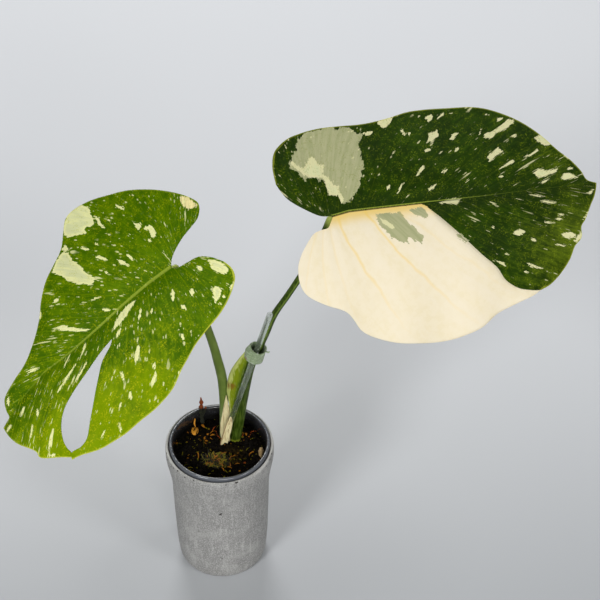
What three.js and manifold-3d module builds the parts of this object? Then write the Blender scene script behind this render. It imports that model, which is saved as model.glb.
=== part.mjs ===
// A young cream-and-green split-leaf plant with two leaves, in a nursery pot that hangs by its rim inside a
// stoneware cover pot. Millimetres, +Z up. The origin is the middle of the cover pot's foot, on the floor.
// Seen from the front, looking along +Y, both leaves show their upper faces, and +X is to the right.
import * as THREE from 'three';
import { mergeVertices } from 'three/addons/utils/BufferGeometryUtils.js';
import Module from 'manifold-3d';

const wasm = await Module();
wasm.setup();

// Driving dimensions
const CLEARANCE = 0.3; // between pieces that touch
const POT_SEGMENTS = 40; // faces round a pot

// Cover pot: a straight body that flares to a thick lip
const FOOT_RADIUS = 34.2;
const BODY_RADIUS = 38.1; // just below the flare
const LIP_RADIUS = 42.5;
const POT_HEIGHT = 124;
const COVER_WALL = 3;
const COVER_FLOOR = 6;
const SHOULDER_HEIGHT = 118.4; // the step inside the lip that carries the nursery pot
const SHOULDER_RADIUS = 39.9;

// Nursery pot: thin plastic with a rolled rim
const RIM_RADIUS = 39.4;
const RIM_TOP = 126;
const NURSERY_TOP_RADIUS = 37.3;
const NURSERY_FOOT_RADIUS = 30.5;
const NURSERY_FLOOR = 50;
const NURSERY_WALL = 1;
const DRAIN_RADIUS = 3.5;
const DRAIN_RING = 19;
const DRAIN_COUNT = 6;

// Soil and what grows in it
const SOIL_LEVEL = 114;
const SOIL_RINGS = 8;
const CROWN = { x: 6.8, y: 13.4, top: 104, radius: 7.8, height: 16 };
const ROOT_COUNT = 7;
const ROOT_RADIUS = 1.5;
const ROOT_FAN = [225, 500]; // degrees about the crown, clear of the stake

// Clear rod and the tape round it
const STAKE_RADIUS = 2.5;
const STAKE_TOP = [40.7, 7, 260.3];
const STAKE_AT_SOIL = [0.7, 9.1, SOIL_LEVEL];
const STAKE_BURIED = 32;
const TIE = { x: 31.4, y: 10.2, top: 221, width: 12, inside: 5.85, thickness: 0.9 };

// Blades
const BLADE_THICKNESS = 0.9;
const RIB_DEPTH = 1.8; // how far the midrib stands out below
const BLADE_COLUMNS = 9; // from the midrib to the margin
const BLADE_ROWS = 44; // from the heel of a blade to its tip
const SPLIT_ROW = 21; // the row at which a split leaves the midrib

const vector = ([x, y, z]) => new THREE.Vector3(x, y, z);

function standUp(geometry) {
  // turns a round shape, whose axis is Y, to stand along Z
  return geometry.rotateX(Math.PI / 2);
}

function toSolid(geometry) {
  const plain = geometry.clone();
  plain.deleteAttribute('normal');
  plain.deleteAttribute('uv');
  const merged = mergeVertices(plain, 1e-4);
  return new wasm.Manifold(new wasm.Mesh({
    numProp: 3,
    vertProperties: new Float32Array(merged.attributes.position.array),
    triVerts: new Uint32Array(merged.index.array),
  }));
}

function toGeometry(solid) {
  const mesh = solid.getMesh();
  const geometry = new THREE.BufferGeometry();
  geometry.setAttribute('position', new THREE.BufferAttribute(mesh.vertProperties, 3));
  geometry.setIndex(new THREE.BufferAttribute(mesh.triVerts, 1));
  geometry.computeVertexNormals();
  return geometry;
}

function cut(geometry, cutters) {
  return toGeometry(cutters.reduce((rest, cutter) => rest.subtract(toSolid(cutter)), toSolid(geometry)));
}

function join(geometries) {
  return toGeometry(geometries.map(toSolid).reduce((whole, piece) => whole.add(piece)));
}

function turned(profile, segments = POT_SEGMENTS) {
  // profile: [radius, height] from the axis, up the outside and back to the axis
  const points = profile.map(([radius, height]) => new THREE.Vector2(radius, height));
  return standUp(new THREE.LatheGeometry(points, segments));
}

function sweep(path, steps, sides, sectionAt) {
  // Carries a round section along a path and closes both ends. sectionAt(t) gives the half width, which
  // lies across the path in the XZ plane, and the half depth.
  const curve = new THREE.CatmullRomCurve3(path.map(vector), false, 'centripetal');
  const back = new THREE.Vector3(0, 1, 0);
  const corners = [];
  const faces = [];
  for (let step = 0; step <= steps; step++) {
    const t = step / steps;
    const centre = curve.getPointAt(t);
    const tangent = curve.getTangentAt(t);
    const side = back.clone().cross(tangent).normalize();
    const depthways = tangent.clone().cross(side);
    const [halfWidth, halfDepth] = sectionAt(t);
    for (let k = 0; k < sides; k++) {
      const angle = (k / sides) * 2 * Math.PI;
      corners.push(centre.clone()
        .addScaledVector(side, halfWidth * Math.cos(angle))
        .addScaledVector(depthways, halfDepth * Math.sin(angle)));
    }
  }
  for (let step = 0; step < steps; step++) {
    for (let k = 0; k < sides; k++) {
      const a = step * sides + k;
      const b = step * sides + ((k + 1) % sides);
      faces.push(a, b, b + sides, a, b + sides, a + sides);
    }
  }
  for (const [end, first] of [[0, 0], [1, steps * sides]]) {
    const middle = corners.push(curve.getPointAt(end)) - 1;
    for (let k = 0; k < sides; k++) {
      const a = first + k;
      const b = first + ((k + 1) % sides);
      faces.push(...(end ? [a, b, middle] : [b, a, middle]));
    }
  }
  const geometry = new THREE.BufferGeometry().setFromPoints(corners);
  geometry.setIndex(faces);
  return geometry;
}

function along(values) {
  // the value at t, 0 to 1, read from evenly spaced values
  return (t) => {
    const place = t * (values.length - 1);
    const index = Math.min(Math.floor(place), values.length - 2);
    return THREE.MathUtils.lerp(values[index], values[index + 1], place - index);
  };
}

// Cover pot
function coverPot() {
  const inside = BODY_RADIUS - COVER_WALL;
  return turned([
    [0, 0], [FOOT_RADIUS - 1.8, 0], [FOOT_RADIUS, 1.2], [FOOT_RADIUS + 0.7, 4], [36.4, 22], [37.4, 48],
    [BODY_RADIUS, 74], [38.5, 86], [39.5, 95], [41.3, 106], [42.2, 112],
    [LIP_RADIUS, 117], [LIP_RADIUS, 121], [LIP_RADIUS - 0.4, 123.2], [LIP_RADIUS - 1.3, POT_HEIGHT],
    [SHOULDER_RADIUS + 0.4, 123.3], [SHOULDER_RADIUS, 121.8], [SHOULDER_RADIUS, SHOULDER_HEIGHT],
    [NURSERY_TOP_RADIUS + 0.7, SHOULDER_HEIGHT], [37.2, 104], [35.8, 88],
    [inside, 76], [34.3, 48], [33.3, 20], [32.2, COVER_FLOOR + 3], [30, COVER_FLOOR],
    [0, COVER_FLOOR],
  ]);
}

// Nursery pot
function nurseryInside(height) {
  const rise = (height - NURSERY_FLOOR) / (SHOULDER_HEIGHT - NURSERY_FLOOR);
  return THREE.MathUtils.lerp(NURSERY_FOOT_RADIUS, NURSERY_TOP_RADIUS, rise) - NURSERY_WALL;
}

function nurseryPot() {
  const underRim = SHOULDER_HEIGHT + CLEARANCE;
  const floorTop = NURSERY_FLOOR + NURSERY_WALL;
  const pot = turned([
    [0, NURSERY_FLOOR], [NURSERY_FOOT_RADIUS, NURSERY_FLOOR], [NURSERY_TOP_RADIUS, underRim],
    [RIM_RADIUS, underRim], [RIM_RADIUS, RIM_TOP - 1.2], [RIM_RADIUS - 0.6, RIM_TOP - 0.2],
    [RIM_RADIUS - 1.4, RIM_TOP], [RIM_RADIUS - 2.3, RIM_TOP - 0.3], [RIM_RADIUS - 2.8, RIM_TOP - 1.3],
    [nurseryInside(122), 122], [nurseryInside(floorTop), floorTop], [0, floorTop],
  ]);
  const drains = [new THREE.CylinderGeometry(DRAIN_RADIUS, DRAIN_RADIUS, 6, 12)];
  for (let k = 0; k < DRAIN_COUNT; k++) {
    const angle = (k / DRAIN_COUNT) * 2 * Math.PI;
    drains.push(new THREE.CylinderGeometry(DRAIN_RADIUS, DRAIN_RADIUS, 6, 12)
      .translate(DRAIN_RING * Math.cos(angle), 0, DRAIN_RING * Math.sin(angle)));
  }
  return cut(pot, drains.map((drain) => standUp(drain).translate(0, 0, NURSERY_FLOOR)));
}

// Petioles: the stalks of the two leaves, from the crown under the soil to the back of each blade
const PETIOLE_FOOT = CROWN.top + CLEARANCE;
const LEFT_PETIOLE_PATH = [
  [4, 15.8, PETIOLE_FOOT], [4, 15.8, PETIOLE_FOOT + 2], [2.8, 17, 113], [3, 17, 128], [3.6, 16.4, 145],
  [4, 15.9, 158], [4, 15.8, 170], [3.6, 15.8, 180], [2.2, 16, 191], [0.1, 16.2, 202], [-1.7, 16.5, 212],
  [-5.3, 17.3, 227.5], [-10, 18.2, 245], [-18.5, 19.5, 270], [-26.5, 18.5, 290],
];
const RIGHT_PETIOLE_PATH = [
  [9.9, 11.2, PETIOLE_FOOT], [9.9, 11.2, PETIOLE_FOOT + 2], [11.7, 10.8, 113], [12.9, 11, 127],
  [14.4, 11.8, 138], [16.4, 12.9, 154], [19.3, 13.8, 172.5], [21.9, 14, 188], [25.5, 13.6, 201.8],
  [30.5, 13, 215.5], [36.5, 13.6, 231], [43.9, 15.4, 251], [54.1, 17, 270.5], [67.4, 18.6, 297],
  [78, 21, 321],
];
const LEFT_PETIOLE_RADII = along([3, 3.1, 3.2, 3.3, 3.3, 3.3, 3.3, 3.3, 3.2, 3.2, 3.6, 3.4]);
const RIGHT_PETIOLE_RADII = along([3.1, 3.4, 3.3, 3.1, 2.8, 2.5, 2.3, 2.3, 2.3, 2.4, 2.5, 3.0, 2.9]);

function petiole(path, blade, radii, growth = 0) {
  // ends square against the back of the blade, at the junction
  const behind = (distance) => blade.junction.clone().addScaledVector(blade.up, -distance).toArray();
  const seat = BLADE_THICKNESS + RIB_DEPTH + CLEARANCE;
  const whole = [...path, behind(seat + 5), behind(seat)];
  return sweep(whole, 38, 10, (t) => [radii(t) + growth, radii(t) + growth]);
}

// Sheaths: the green one stands left of the right petiole, the dry cream one wraps the foot
function greenSheath() {
  const path = [
    [11.3, 12.1, 149], [10.9, 12.3, 156], [11.3, 12.6, 166], [12, 12.7, 174], [13.2, 12.7, 183],
    [14.5, 12.6, 191], [16, 12.4, 198], [17.6, 12.1, 204], [20, 11.8, 210.5], [21.6, 11.6, 216],
  ];
  const halfWidth = along([0.5, 1.7, 3.1, 3.7, 4.1, 4.2, 4.1, 3.6, 2.2, 0.5]);
  const halfDepth = along([0.5, 1.2, 2, 2.4, 2.5, 2.4, 2.2, 1.8, 1.2, 0.5]);
  return sweep(path, 24, 12, (t) => [halfWidth(t), halfDepth(t)]);
}

function creamSheath(growth = 0) {
  const path = [
    [6.4, 9.6, 108], [6.4, 10, 114], [6.6, 12.3, 120], [5.4, 12.8, 127], [5, 12.8, 136],
    [5.4, 12.4, 146], [6.4, 11.6, 157], [7.2, 11, 168], [7.4, 10.8, 178],
  ];
  const halfWidth = along([1.5, 1.9, 2.4, 3.7, 4, 3.6, 2.3, 1.5, 0.6]);
  return sweep(path, 22, 8, (t) => [halfWidth(t) + growth, 0.75 + growth]);
}

// Crown and roots, all one grown body
function crownAndRoots(growth = 0) {
  const { x, y, top, radius, height } = CROWN;
  const crown = turned([
    [0, top - height - growth], [radius * 0.5, top - height + 1.5 - growth],
    [radius * 0.9 + growth, top - height * 0.6], [radius + growth, top - height * 0.3],
    [radius * 0.95 + growth, top - 0.8], [radius * 0.9 + growth, top + growth], [0, top + growth],
  ], 20).translate(x, y, 0);
  const roots = [];
  for (let k = 0; k < ROOT_COUNT; k++) {
    const angle = THREE.MathUtils.degToRad(THREE.MathUtils.lerp(...ROOT_FAN, k / (ROOT_COUNT - 1)));
    const reach = 20 + 4 * Math.sin(3 * k);
    const end = 60 + 5 * (k % 3);
    const [cos, sin] = [Math.cos(angle), Math.sin(angle)];
    const path = [
      [x + 3 * cos, y + 3 * sin, top - 7], [x + 9 * cos, y + 8 * sin, top - 12],
      [0.4 * x + 0.7 * reach * cos, 0.4 * y + 0.7 * reach * sin, top - 22],
      [reach * cos, reach * sin, end + 8], [(reach - 3) * cos, (reach - 3) * sin, end],
    ];
    const halfWidth = (t) => ROOT_RADIUS * (1 - 0.6 * t) + growth;
    roots.push(sweep(path, 9, 5, (t) => [halfWidth(t), halfWidth(t)]));
  }
  return join([crown, ...roots]);
}

// Stake: a straight clear rod with its top cut flat
function stake(growth = 0) {
  const top = vector(STAKE_TOP);
  const atSoil = vector(STAKE_AT_SOIL);
  const axis = top.clone().sub(atSoil).normalize();
  const foot = atSoil.clone().addScaledVector(axis, -STAKE_BURIED - growth);
  const length = top.distanceTo(foot);
  const rod = new THREE.CylinderGeometry(STAKE_RADIUS + growth, STAKE_RADIUS + growth, length, 16);
  rod.applyQuaternion(new THREE.Quaternion().setFromUnitVectors(new THREE.Vector3(0, 1, 0), axis));
  const middle = foot.add(top).multiplyScalar(0.5);
  return rod.translate(middle.x, middle.y, middle.z);
}

// Tie: one turn of tape with its end sticking out to the right
function tie() {
  const outside = TIE.inside + TIE.thickness;
  const band = standUp(new THREE.LatheGeometry([
    new THREE.Vector2(TIE.inside, -TIE.width), new THREE.Vector2(outside, -TIE.width),
    new THREE.Vector2(outside, 0), new THREE.Vector2(TIE.inside, 0),
    new THREE.Vector2(TIE.inside, -TIE.width),
  ], 28));
  const tail = new THREE.BoxGeometry(3.4, 1, 5).rotateZ(-0.35).translate(outside + 0.6, -2.4, -3.2);
  const axis = vector(STAKE_TOP).sub(vector(STAKE_AT_SOIL)).normalize();
  const lean = new THREE.Quaternion().setFromUnitVectors(new THREE.Vector3(0, 0, 1), axis);
  return join([band, tail]).applyQuaternion(lean).translate(TIE.x, TIE.y, TIE.top);
}

// Bits on the soil
function deadSprig(growth = 0) {
  const stem = sweep([[-14, 28, 106], [-14.4, 29.6, 116], [-15.4, 31.8, 127], [-15.2, 34.6, 139]],
    10, 7, (t) => [1.5 - 0.5 * t + growth, 1.3 - 0.4 * t + growth]);
  const twig = sweep([[-15, 30.6, 121.5], [-13.2, 31.2, 124.5], [-11.6, 31.4, 128.4]],
    5, 5, (t) => [0.9 - 0.4 * t + growth, 0.8 - 0.35 * t + growth]);
  return join([stem, twig]);
}

function dryFlake(growth = 0) {
  const spoon = new THREE.SphereGeometry(1, 14, 8)
    .scale(2.9 + growth, 4.6 + growth, 1 + growth).rotateX(0.2).translate(-20.2, 21.5, 114.4);
  const stalk = sweep([[-20.2, 24, 115], [-20.6, 26.4, 117], [-20, 27.8, 120]],
    5, 5, () => [0.55 + growth, 0.5 + growth]);
  return join([spoon, stalk]);
}

function barkChip(growth = 0) {
  return new THREE.DodecahedronGeometry(1, 0)
    .scale(1.9 + growth, 5 + growth, 2.6 + growth).rotateY(0.4).rotateZ(0.12).translate(32.4, -2.5, 115.8);
}

function mossClump(growth = 0) {
  // a low cushion whose surface swells and sinks
  const cushion = new THREE.SphereGeometry(1, 18, 10);
  const place = cushion.attributes.position;
  for (let i = 0; i < place.count; i++) {
    const [x, y, z] = [place.getX(i), place.getY(i), place.getZ(i)];
    const swell = 1 + 0.09 * Math.sin(7 * x + 1) * Math.sin(6 * z) + 0.06 * Math.sin(9 * y);
    place.setXYZ(i, x * (8.5 * swell + growth), y * (2.6 * swell + growth), z * (5.5 * swell + growth));
  }
  return standUp(cushion).translate(-5, -11, 114.6);
}

// Soil: fills the nursery pot, with an uneven top and plain holes where stems, roots and stake stand
function soilRelief(x, y) {
  const mound = 1.8 * Math.exp(-((x - 10) ** 2 + (y - 5) ** 2) / 90);
  return mound + 0.9 * Math.sin(0.23 * x + 1) * Math.cos(0.19 * y) + 0.5 * Math.sin(0.41 * x - 0.33 * y);
}

function soil(leftBlade, rightBlade) {
  const floor = NURSERY_FLOOR + NURSERY_WALL + CLEARANCE;
  const outer = (height) => nurseryInside(height) - CLEARANCE;
  const profile = [[0, floor], [outer(floor), floor], [outer(82), 82], [outer(SOIL_LEVEL), SOIL_LEVEL]];
  for (let ring = SOIL_RINGS - 1; ring > 0; ring--) {
    profile.push([(outer(SOIL_LEVEL) * ring) / SOIL_RINGS, SOIL_LEVEL]);
  }
  profile.push([0, SOIL_LEVEL]);
  const body = turned(profile, 36);
  const place = body.attributes.position;
  const open = outer(SOIL_LEVEL) - 1;
  for (let i = 0; i < place.count; i++) {
    const [x, y, z] = [place.getX(i), place.getY(i), place.getZ(i)];
    if (z > SOIL_LEVEL - 1 && Math.hypot(x, y) < open) {
      place.setZ(i, z + soilRelief(x, y));
    }
  }
  return cut(body, [
    petiole(LEFT_PETIOLE_PATH, leftBlade, LEFT_PETIOLE_RADII, CLEARANCE),
    petiole(RIGHT_PETIOLE_PATH, rightBlade, RIGHT_PETIOLE_RADII, CLEARANCE),
    creamSheath(CLEARANCE), crownAndRoots(CLEARANCE), stake(CLEARANCE), deadSprig(CLEARANCE),
    dryFlake(CLEARANCE), barkChip(CLEARANCE), mossClump(CLEARANCE),
  ]);
}

// Blades. A blade is drawn on its own plan: u runs from the junction with the stalk towards the tip, v to
// the left of it, seen from above. Each half is one lobe, or two that a split parts. A lobe is bounded by
// the midrib, an outer margin, and a first and a last edge that run out from the midrib to the margin.
const LEFT_LEAF = {
  junction: [-32, 12, 304],
  tipwards: [-0.72, -0.33, -0.645],
  facing: [-0.3, -0.66, 0.69],
  length: 183,
  halfWidth: 75,
  droop: 0.07,
  heelLift: 0.1,
  bend: { left: 0.12, right: 0.16 },
  groove: { depth: 3, width: 6 },
  wave: { height: 1.2, length: 46 },
  midrib: [[0, 0], [20, -3], [47, -5], [72, -6], [101, -8], [129, -12], [160, -10], [184, -5]],
  lobes: [
    {
      rows: [0, BLADE_ROWS],
      first: { edge: [[0, 0], [-8, -5], [-22, -9], [-39, -11], [-46, -15]] },
      margin: [
        [-46, -15], [-48, -21], [-42, -34], [-29, -51], [-13, -66], [3, -76], [17, -84], [30, -88],
        [40, -87], [48, -80], [57, -72], [69, -67], [81, -62], [94, -53], [105, -43], [119, -34],
        [135, -27], [151, -24], [166, -20], [172, -13], [175, -7], [184, -5],
      ],
    },
    {
      rows: [0, SPLIT_ROW],
      first: { edge: [[0, 0], [-3, 4], [-13, 7], [-22, 10], [-29, 17], [-34, 26]] },
      margin: [
        [-34, 26], [-35, 34], [-31, 41], [-19, 47], [-5, 51], [11, 53], [26, 55], [44, 60], [60, 66],
        [79, 67], [95, 66], [110, 65], [124, 62], [136, 59], [149, 53], [157, 50.5],
      ],
      last: {
        edge: [[69, 8], [74, 11], [87, 15], [100, 23], [114, 32], [127, 40], [137, 47], [146, 48.4],
          [153, 46.5], [157, 50.5]],
        shared: 2,
        lift: { height: 1.8, from: 0.72, to: 0.93 },
      },
    },
    {
      rows: [SPLIT_ROW, BLADE_ROWS],
      first: {
        edge: [[69, 8], [83, 9], [100, 12], [119, 15], [134, 19], [145, 26], [152, 35], [154, 42],
          [153.5, 47], [155.5, 49.5]],
        shared: 2,
      },
      margin: [
        [155.5, 49.5], [164, 42], [173, 35], [176, 31], [175, 27], [177, 22], [182, 13], [184, 5],
        [184, -5],
      ],
    },
  ],
};

const RIGHT_LEAF = {
  junction: [87, 20, 348],
  tipwards: [0.96, 0.26, -0.09],
  facing: [0.22, -0.54, 0.81],
  length: 208,
  halfWidth: 85,
  droop: 0.05,
  heelLift: 0.1,
  bend: { left: 0.2, right: 0.26 },
  groove: { depth: 3.5, width: 7 },
  wave: { height: 1.2, length: 52 },
  midrib: [[0, 0], [12, 2], [58, 2], [113, 2], [161, 3], [209, 4]],
  lobes: [
    {
      rows: [0, BLADE_ROWS],
      first: { edge: [[0, 0], [-10, 1], [-23, 8], [-33, 16], [-39, 27]] },
      margin: [
        [-39, 27], [-39, 40], [-35, 52], [-24, 61], [-12, 65], [1, 67], [16, 67], [32, 67], [45, 68],
        [58, 70], [72, 73], [89, 74], [107, 73], [123, 72], [136, 69], [150, 62], [162, 53], [172, 43],
        [181, 32], [190, 23], [197, 14], [201, 7], [209, 4],
      ],
    },
    {
      rows: [0, SPLIT_ROW],
      first: { edge: [[0, 0], [-3, -5], [-6, -9], [-11, -10], [-17, -12], [-22, -17], [-28, -25]] },
      margin: [
        [-28, -25], [-32, -34], [-32, -46], [-27, -55], [-14, -63], [0, -69], [6, -75], [12, -83],
        [23, -89], [41, -95], [60, -97], [79, -97], [93, -95], [106, -91], [118, -83], [132, -78],
        [148, -73], [156, -68],
      ],
      last: {
        edge: [[71, -1], [75, -6.8], [82, -12.4], [96, -24], [112, -39], [128, -54], [143, -64],
          [156, -68]],
        shared: 1,
        lift: { height: -1.6, from: 0.09, to: 0.25 },
      },
    },
    {
      rows: [SPLIT_ROW, BLADE_ROWS],
      first: {
        edge: [[71, -1], [79, -10], [93, -25], [107, -40], [119, -51], [125, -60], [135, -67],
          [147, -70], [153, -70.3]],
        shared: 1,
        lift: { height: 1.4, from: 0.09, to: 0.25 },
      },
      margin: [
        [153, -70.3], [161, -67], [170, -60], [178, -51], [183, -42], [189, -36], [190, -28],
        [194, -23], [200, -13], [204, -7], [207, -1], [209, 4],
      ],
    },
  ],
};

const planCurve = (points) => new THREE.SplineCurve(points.map(([u, v]) => new THREE.Vector2(u, v)));

class Blade {
  constructor(leaf) {
    this.leaf = leaf;
    this.junction = vector(leaf.junction);
    this.tipwards = vector(leaf.tipwards).normalize();
    this.up = vector(leaf.facing);
    this.up.addScaledVector(this.tipwards, -this.up.dot(this.tipwards)).normalize();
    this.left = this.up.clone().cross(this.tipwards);
    this.midrib = planCurve(leaf.midrib);
    this.corners = new Map();
    this.upper = [];
    this.lower = [];
    this.faces = [];
  }

  midribPoint(x) {
    // rows stand closer together at the heel, where they fan out to the basal lobes
    return this.midrib.getPointAt(x * (0.35 + 0.65 * x));
  }

  midribAcross(u) {
    const points = this.leaf.midrib;
    const next = points.findIndex(([end]) => end > u);
    if (next === 0) return 0;
    if (next < 0) return points.at(-1)[1];
    const [before, after] = [points[next - 1], points[next]];
    return THREE.MathUtils.mapLinear(u, before[0], after[0], before[1], after[1]);
  }

  height(u, v) {
    // a shallow roof over a grooved midrib, drooping towards the tip, with a slow wave at the margin
    const { length, halfWidth, droop, heelLift, bend, groove, wave } = this.leaf;
    const across = v - this.midribAcross(u);
    const reach = Math.abs(across) / halfWidth;
    const slope = (u > 0 ? -droop : heelLift) * length * (u / length) ** 2;
    const roof = -(across > 0 ? bend.left : bend.right) * halfWidth * reach ** 2;
    const channel = groove.depth * (1 - Math.exp(-Math.abs(across) / groove.width));
    const phase = across > 0 ? 0 : 2;
    const ripple = wave.height * reach ** 2 * Math.sin((2 * Math.PI * u) / wave.length + phase);
    return slope + roof + channel + ripple;
  }

  point(u, v, lift) {
    return this.junction.clone()
      .addScaledVector(this.tipwards, u)
      .addScaledVector(this.left, v)
      .addScaledVector(this.up, this.height(u, v) + lift);
  }

  edgeAt(end, foot) {
    // a first or last edge as a function of the share of the way out to the margin
    if (!end) return () => planPoint(this.leaf.midrib.at(-1));
    const curve = planCurve(end.edge);
    const shared = (end.shared ?? 0) / BLADE_COLUMNS;
    return (r) => (r < shared
      ? foot.clone().lerp(planPoint(end.edge[0]), r / shared)
      : curve.getPointAt((r - shared) / (1 - shared)));
  }

  corner(place, lift, rib) {
    const top = this.point(place.x, place.y, lift);
    const key = top.toArray().map((value) => value.toFixed(3)).join();
    if (!this.corners.has(key)) {
      this.corners.set(key, this.upper.length);
      this.upper.push(top);
      this.lower.push(top.clone().addScaledVector(this.up, -BLADE_THICKNESS - rib));
    }
    return this.corners.get(key);
  }

  addLobe(lobe) {
    // the patch between midrib, margin and the two edges: their linear blends, less the blend of corners
    const margin = planCurve(lobe.margin);
    const rows = lobe.rows[1] - lobe.rows[0];
    const inner = (t) => this.midribPoint(THREE.MathUtils.lerp(...lobe.rows, t) / BLADE_ROWS);
    const first = this.edgeAt(lobe.first, inner(0));
    const last = this.edgeAt(lobe.last, inner(1));
    const edgeLift = (end, nearness, r) => (end?.lift
      ? end.lift.height * nearness ** 3 * THREE.MathUtils.smoothstep(r, end.lift.from, end.lift.to) : 0);
    const grid = [];
    for (let row = 0; row <= rows; row++) {
      const t = row / rows;
      const line = [];
      for (let column = 0; column <= BLADE_COLUMNS; column++) {
        const r = column / BLADE_COLUMNS;
        const place = first(r).multiplyScalar(1 - t).addScaledVector(last(r), t)
          .addScaledVector(inner(t), 1 - r).addScaledVector(margin.getPointAt(t), r)
          .addScaledVector(inner(0), -(1 - t) * (1 - r)).addScaledVector(inner(1), -t * (1 - r))
          .addScaledVector(margin.getPointAt(0), -(1 - t) * r).addScaledVector(margin.getPointAt(1), -t * r);
        const lift = edgeLift(lobe.first, 1 - t, r) + edgeLift(lobe.last, t, r);
        line.push(this.corner(place, lift, column === 0 ? RIB_DEPTH : 0));
      }
      grid.push(line);
    }
    const clockwise = margin.getPointAt(0.5).y < this.midribAcross(margin.getPointAt(0.5).x);
    for (let row = 0; row < rows; row++) {
      for (let column = 0; column < BLADE_COLUMNS; column++) {
        const [a, b] = [grid[row][column], grid[row + 1][column]];
        const [c, d] = [grid[row + 1][column + 1], grid[row][column + 1]];
        this.addFace(a, b, c, clockwise);
        this.addFace(a, c, d, clockwise);
      }
    }
  }

  addFace(a, b, c, clockwise) {
    if (a !== b && b !== c && c !== a) this.faces.push(clockwise ? [a, c, b] : [a, b, c]);
  }

  geometry() {
    // the upper faces, the same faces turned over below, and a wall along every open edge
    this.leaf.lobes.forEach((lobe) => this.addLobe(lobe));
    const count = this.upper.length;
    const index = [];
    const edges = new Set();
    for (const [a, b, c] of this.faces) {
      index.push(a, b, c, a + count, c + count, b + count);
      [[a, b], [b, c], [c, a]].forEach((edge) => edges.add(edge.join()));
    }
    for (const edge of edges) {
      const [a, b] = edge.split(',').map(Number);
      if (!edges.has([b, a].join())) index.push(b, a, a + count, b, a + count, b + count);
    }
    const geometry = new THREE.BufferGeometry().setFromPoints([...this.upper, ...this.lower]);
    geometry.setIndex(index);
    return geometry;
  }
}

function planPoint([u, v]) {
  return new THREE.Vector2(u, v);
}

// The whole plant
const leftBlade = new Blade(LEFT_LEAF);
const rightBlade = new Blade(RIGHT_LEAF);

function finish(color, roughness, metalness = 0) {
  return new THREE.MeshStandardMaterial({ color, roughness, metalness });
}

const pieces = {
  cover_pot: [coverPot(), finish('#8f8f90', 0.6)],
  nursery_pot: [nurseryPot(), finish('#2c2d33', 0.3)],
  soil: [soil(leftBlade, rightBlade), finish('#15100c', 0.95)],
  crown_and_roots: [crownAndRoots(), finish('#c9b58a', 0.8)],
  petiole_left: [petiole(LEFT_PETIOLE_PATH, leftBlade, LEFT_PETIOLE_RADII), finish('#5f7a36', 0.5)],
  petiole_right: [petiole(RIGHT_PETIOLE_PATH, rightBlade, RIGHT_PETIOLE_RADII), finish('#2f4a12', 0.5)],
  leaf_left: [leftBlade.geometry(), finish('#6a9410', 0.45)],
  leaf_right: [rightBlade.geometry(), finish('#3c6410', 0.4)],
  sheath_green: [greenSheath(), finish('#8c9c1c', 0.5)],
  sheath_cream: [creamSheath(), finish('#cdbf8d', 0.7)],
  stake: [stake(), finish('#c8cfcf', 0.1)],
  tie: [tie(), finish('#7d8f72', 0.8)],
  dead_sprig: [deadSprig(), finish('#4a2413', 0.9)],
  dry_flake: [dryFlake(), finish('#a5561a', 0.8)],
  bark_chip: [barkChip(), finish('#9a7346', 0.85)],
  moss_clump: [mossClump(), finish('#4a4b1c', 0.95)],
};

const plant = new THREE.Group();
plant.name = 'potted_cream_cheese_monstera';
for (const [name, [geometry, material]] of Object.entries(pieces)) {
  const mesh = new THREE.Mesh(geometry, material);
  mesh.name = name;
  plant.add(mesh);
}

export default plant;
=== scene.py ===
import math

import bpy
import numpy as np
from bpy.props import FloatProperty, FloatVectorProperty, IntProperty, PointerProperty
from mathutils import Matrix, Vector


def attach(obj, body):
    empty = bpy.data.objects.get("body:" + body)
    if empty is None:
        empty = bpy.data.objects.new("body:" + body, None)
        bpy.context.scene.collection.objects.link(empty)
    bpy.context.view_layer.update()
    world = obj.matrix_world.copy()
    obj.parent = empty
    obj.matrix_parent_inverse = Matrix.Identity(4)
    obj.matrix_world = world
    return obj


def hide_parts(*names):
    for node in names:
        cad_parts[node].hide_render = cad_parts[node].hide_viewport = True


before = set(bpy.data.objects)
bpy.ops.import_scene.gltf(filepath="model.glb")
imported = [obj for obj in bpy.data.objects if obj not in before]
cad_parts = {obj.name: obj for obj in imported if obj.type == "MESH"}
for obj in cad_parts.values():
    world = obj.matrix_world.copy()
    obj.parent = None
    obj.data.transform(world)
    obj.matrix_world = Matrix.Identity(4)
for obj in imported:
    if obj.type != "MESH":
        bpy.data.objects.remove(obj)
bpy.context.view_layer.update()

bl_info = {
    "name": "Potted cream cheese monstera",
    "version": (1, 0, 0),
    "blender": (4, 5, 0),
    "location": "3D View > Sidebar > Monstera",
    "description": "Builds a young variegated plant in its pot around the packed solids",
    "category": "Object",
}

# Sizes are in millimetres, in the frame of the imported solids: +Z up, its origin under the middle of the pot.
MM = 0.001
BODY = "root"
SOIL_LEVEL = 114


# Small helpers for shapes


def tint(code):
    """A colour chart's code as linear light."""
    shares = [int(code[k:k + 2], 16) / 255 for k in (1, 3, 5)]
    return tuple(c / 12.92 if c <= 0.04045 else ((c + 0.055) / 1.055) ** 2.4 for c in shares) + (1.0,)


def smooth_step(values, low, high):
    share = np.clip((np.asarray(values, float) - low) / (high - low), 0, 1)
    return share * share * (3 - 2 * share)


def spread(values, share):
    """The value at a share of the way along evenly spaced values."""
    return np.interp(share, np.linspace(0, 1, len(values)), values)


def crowded(share, start):
    """Shares from 0 to 1 that lie closer together near 0, where they are start times as far apart."""
    return share * (start + (1 - start) * share)


def around(sides):
    """The angles of points evenly round a circle."""
    return np.linspace(0, 2 * math.pi, sides, endpoint=False)


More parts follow.
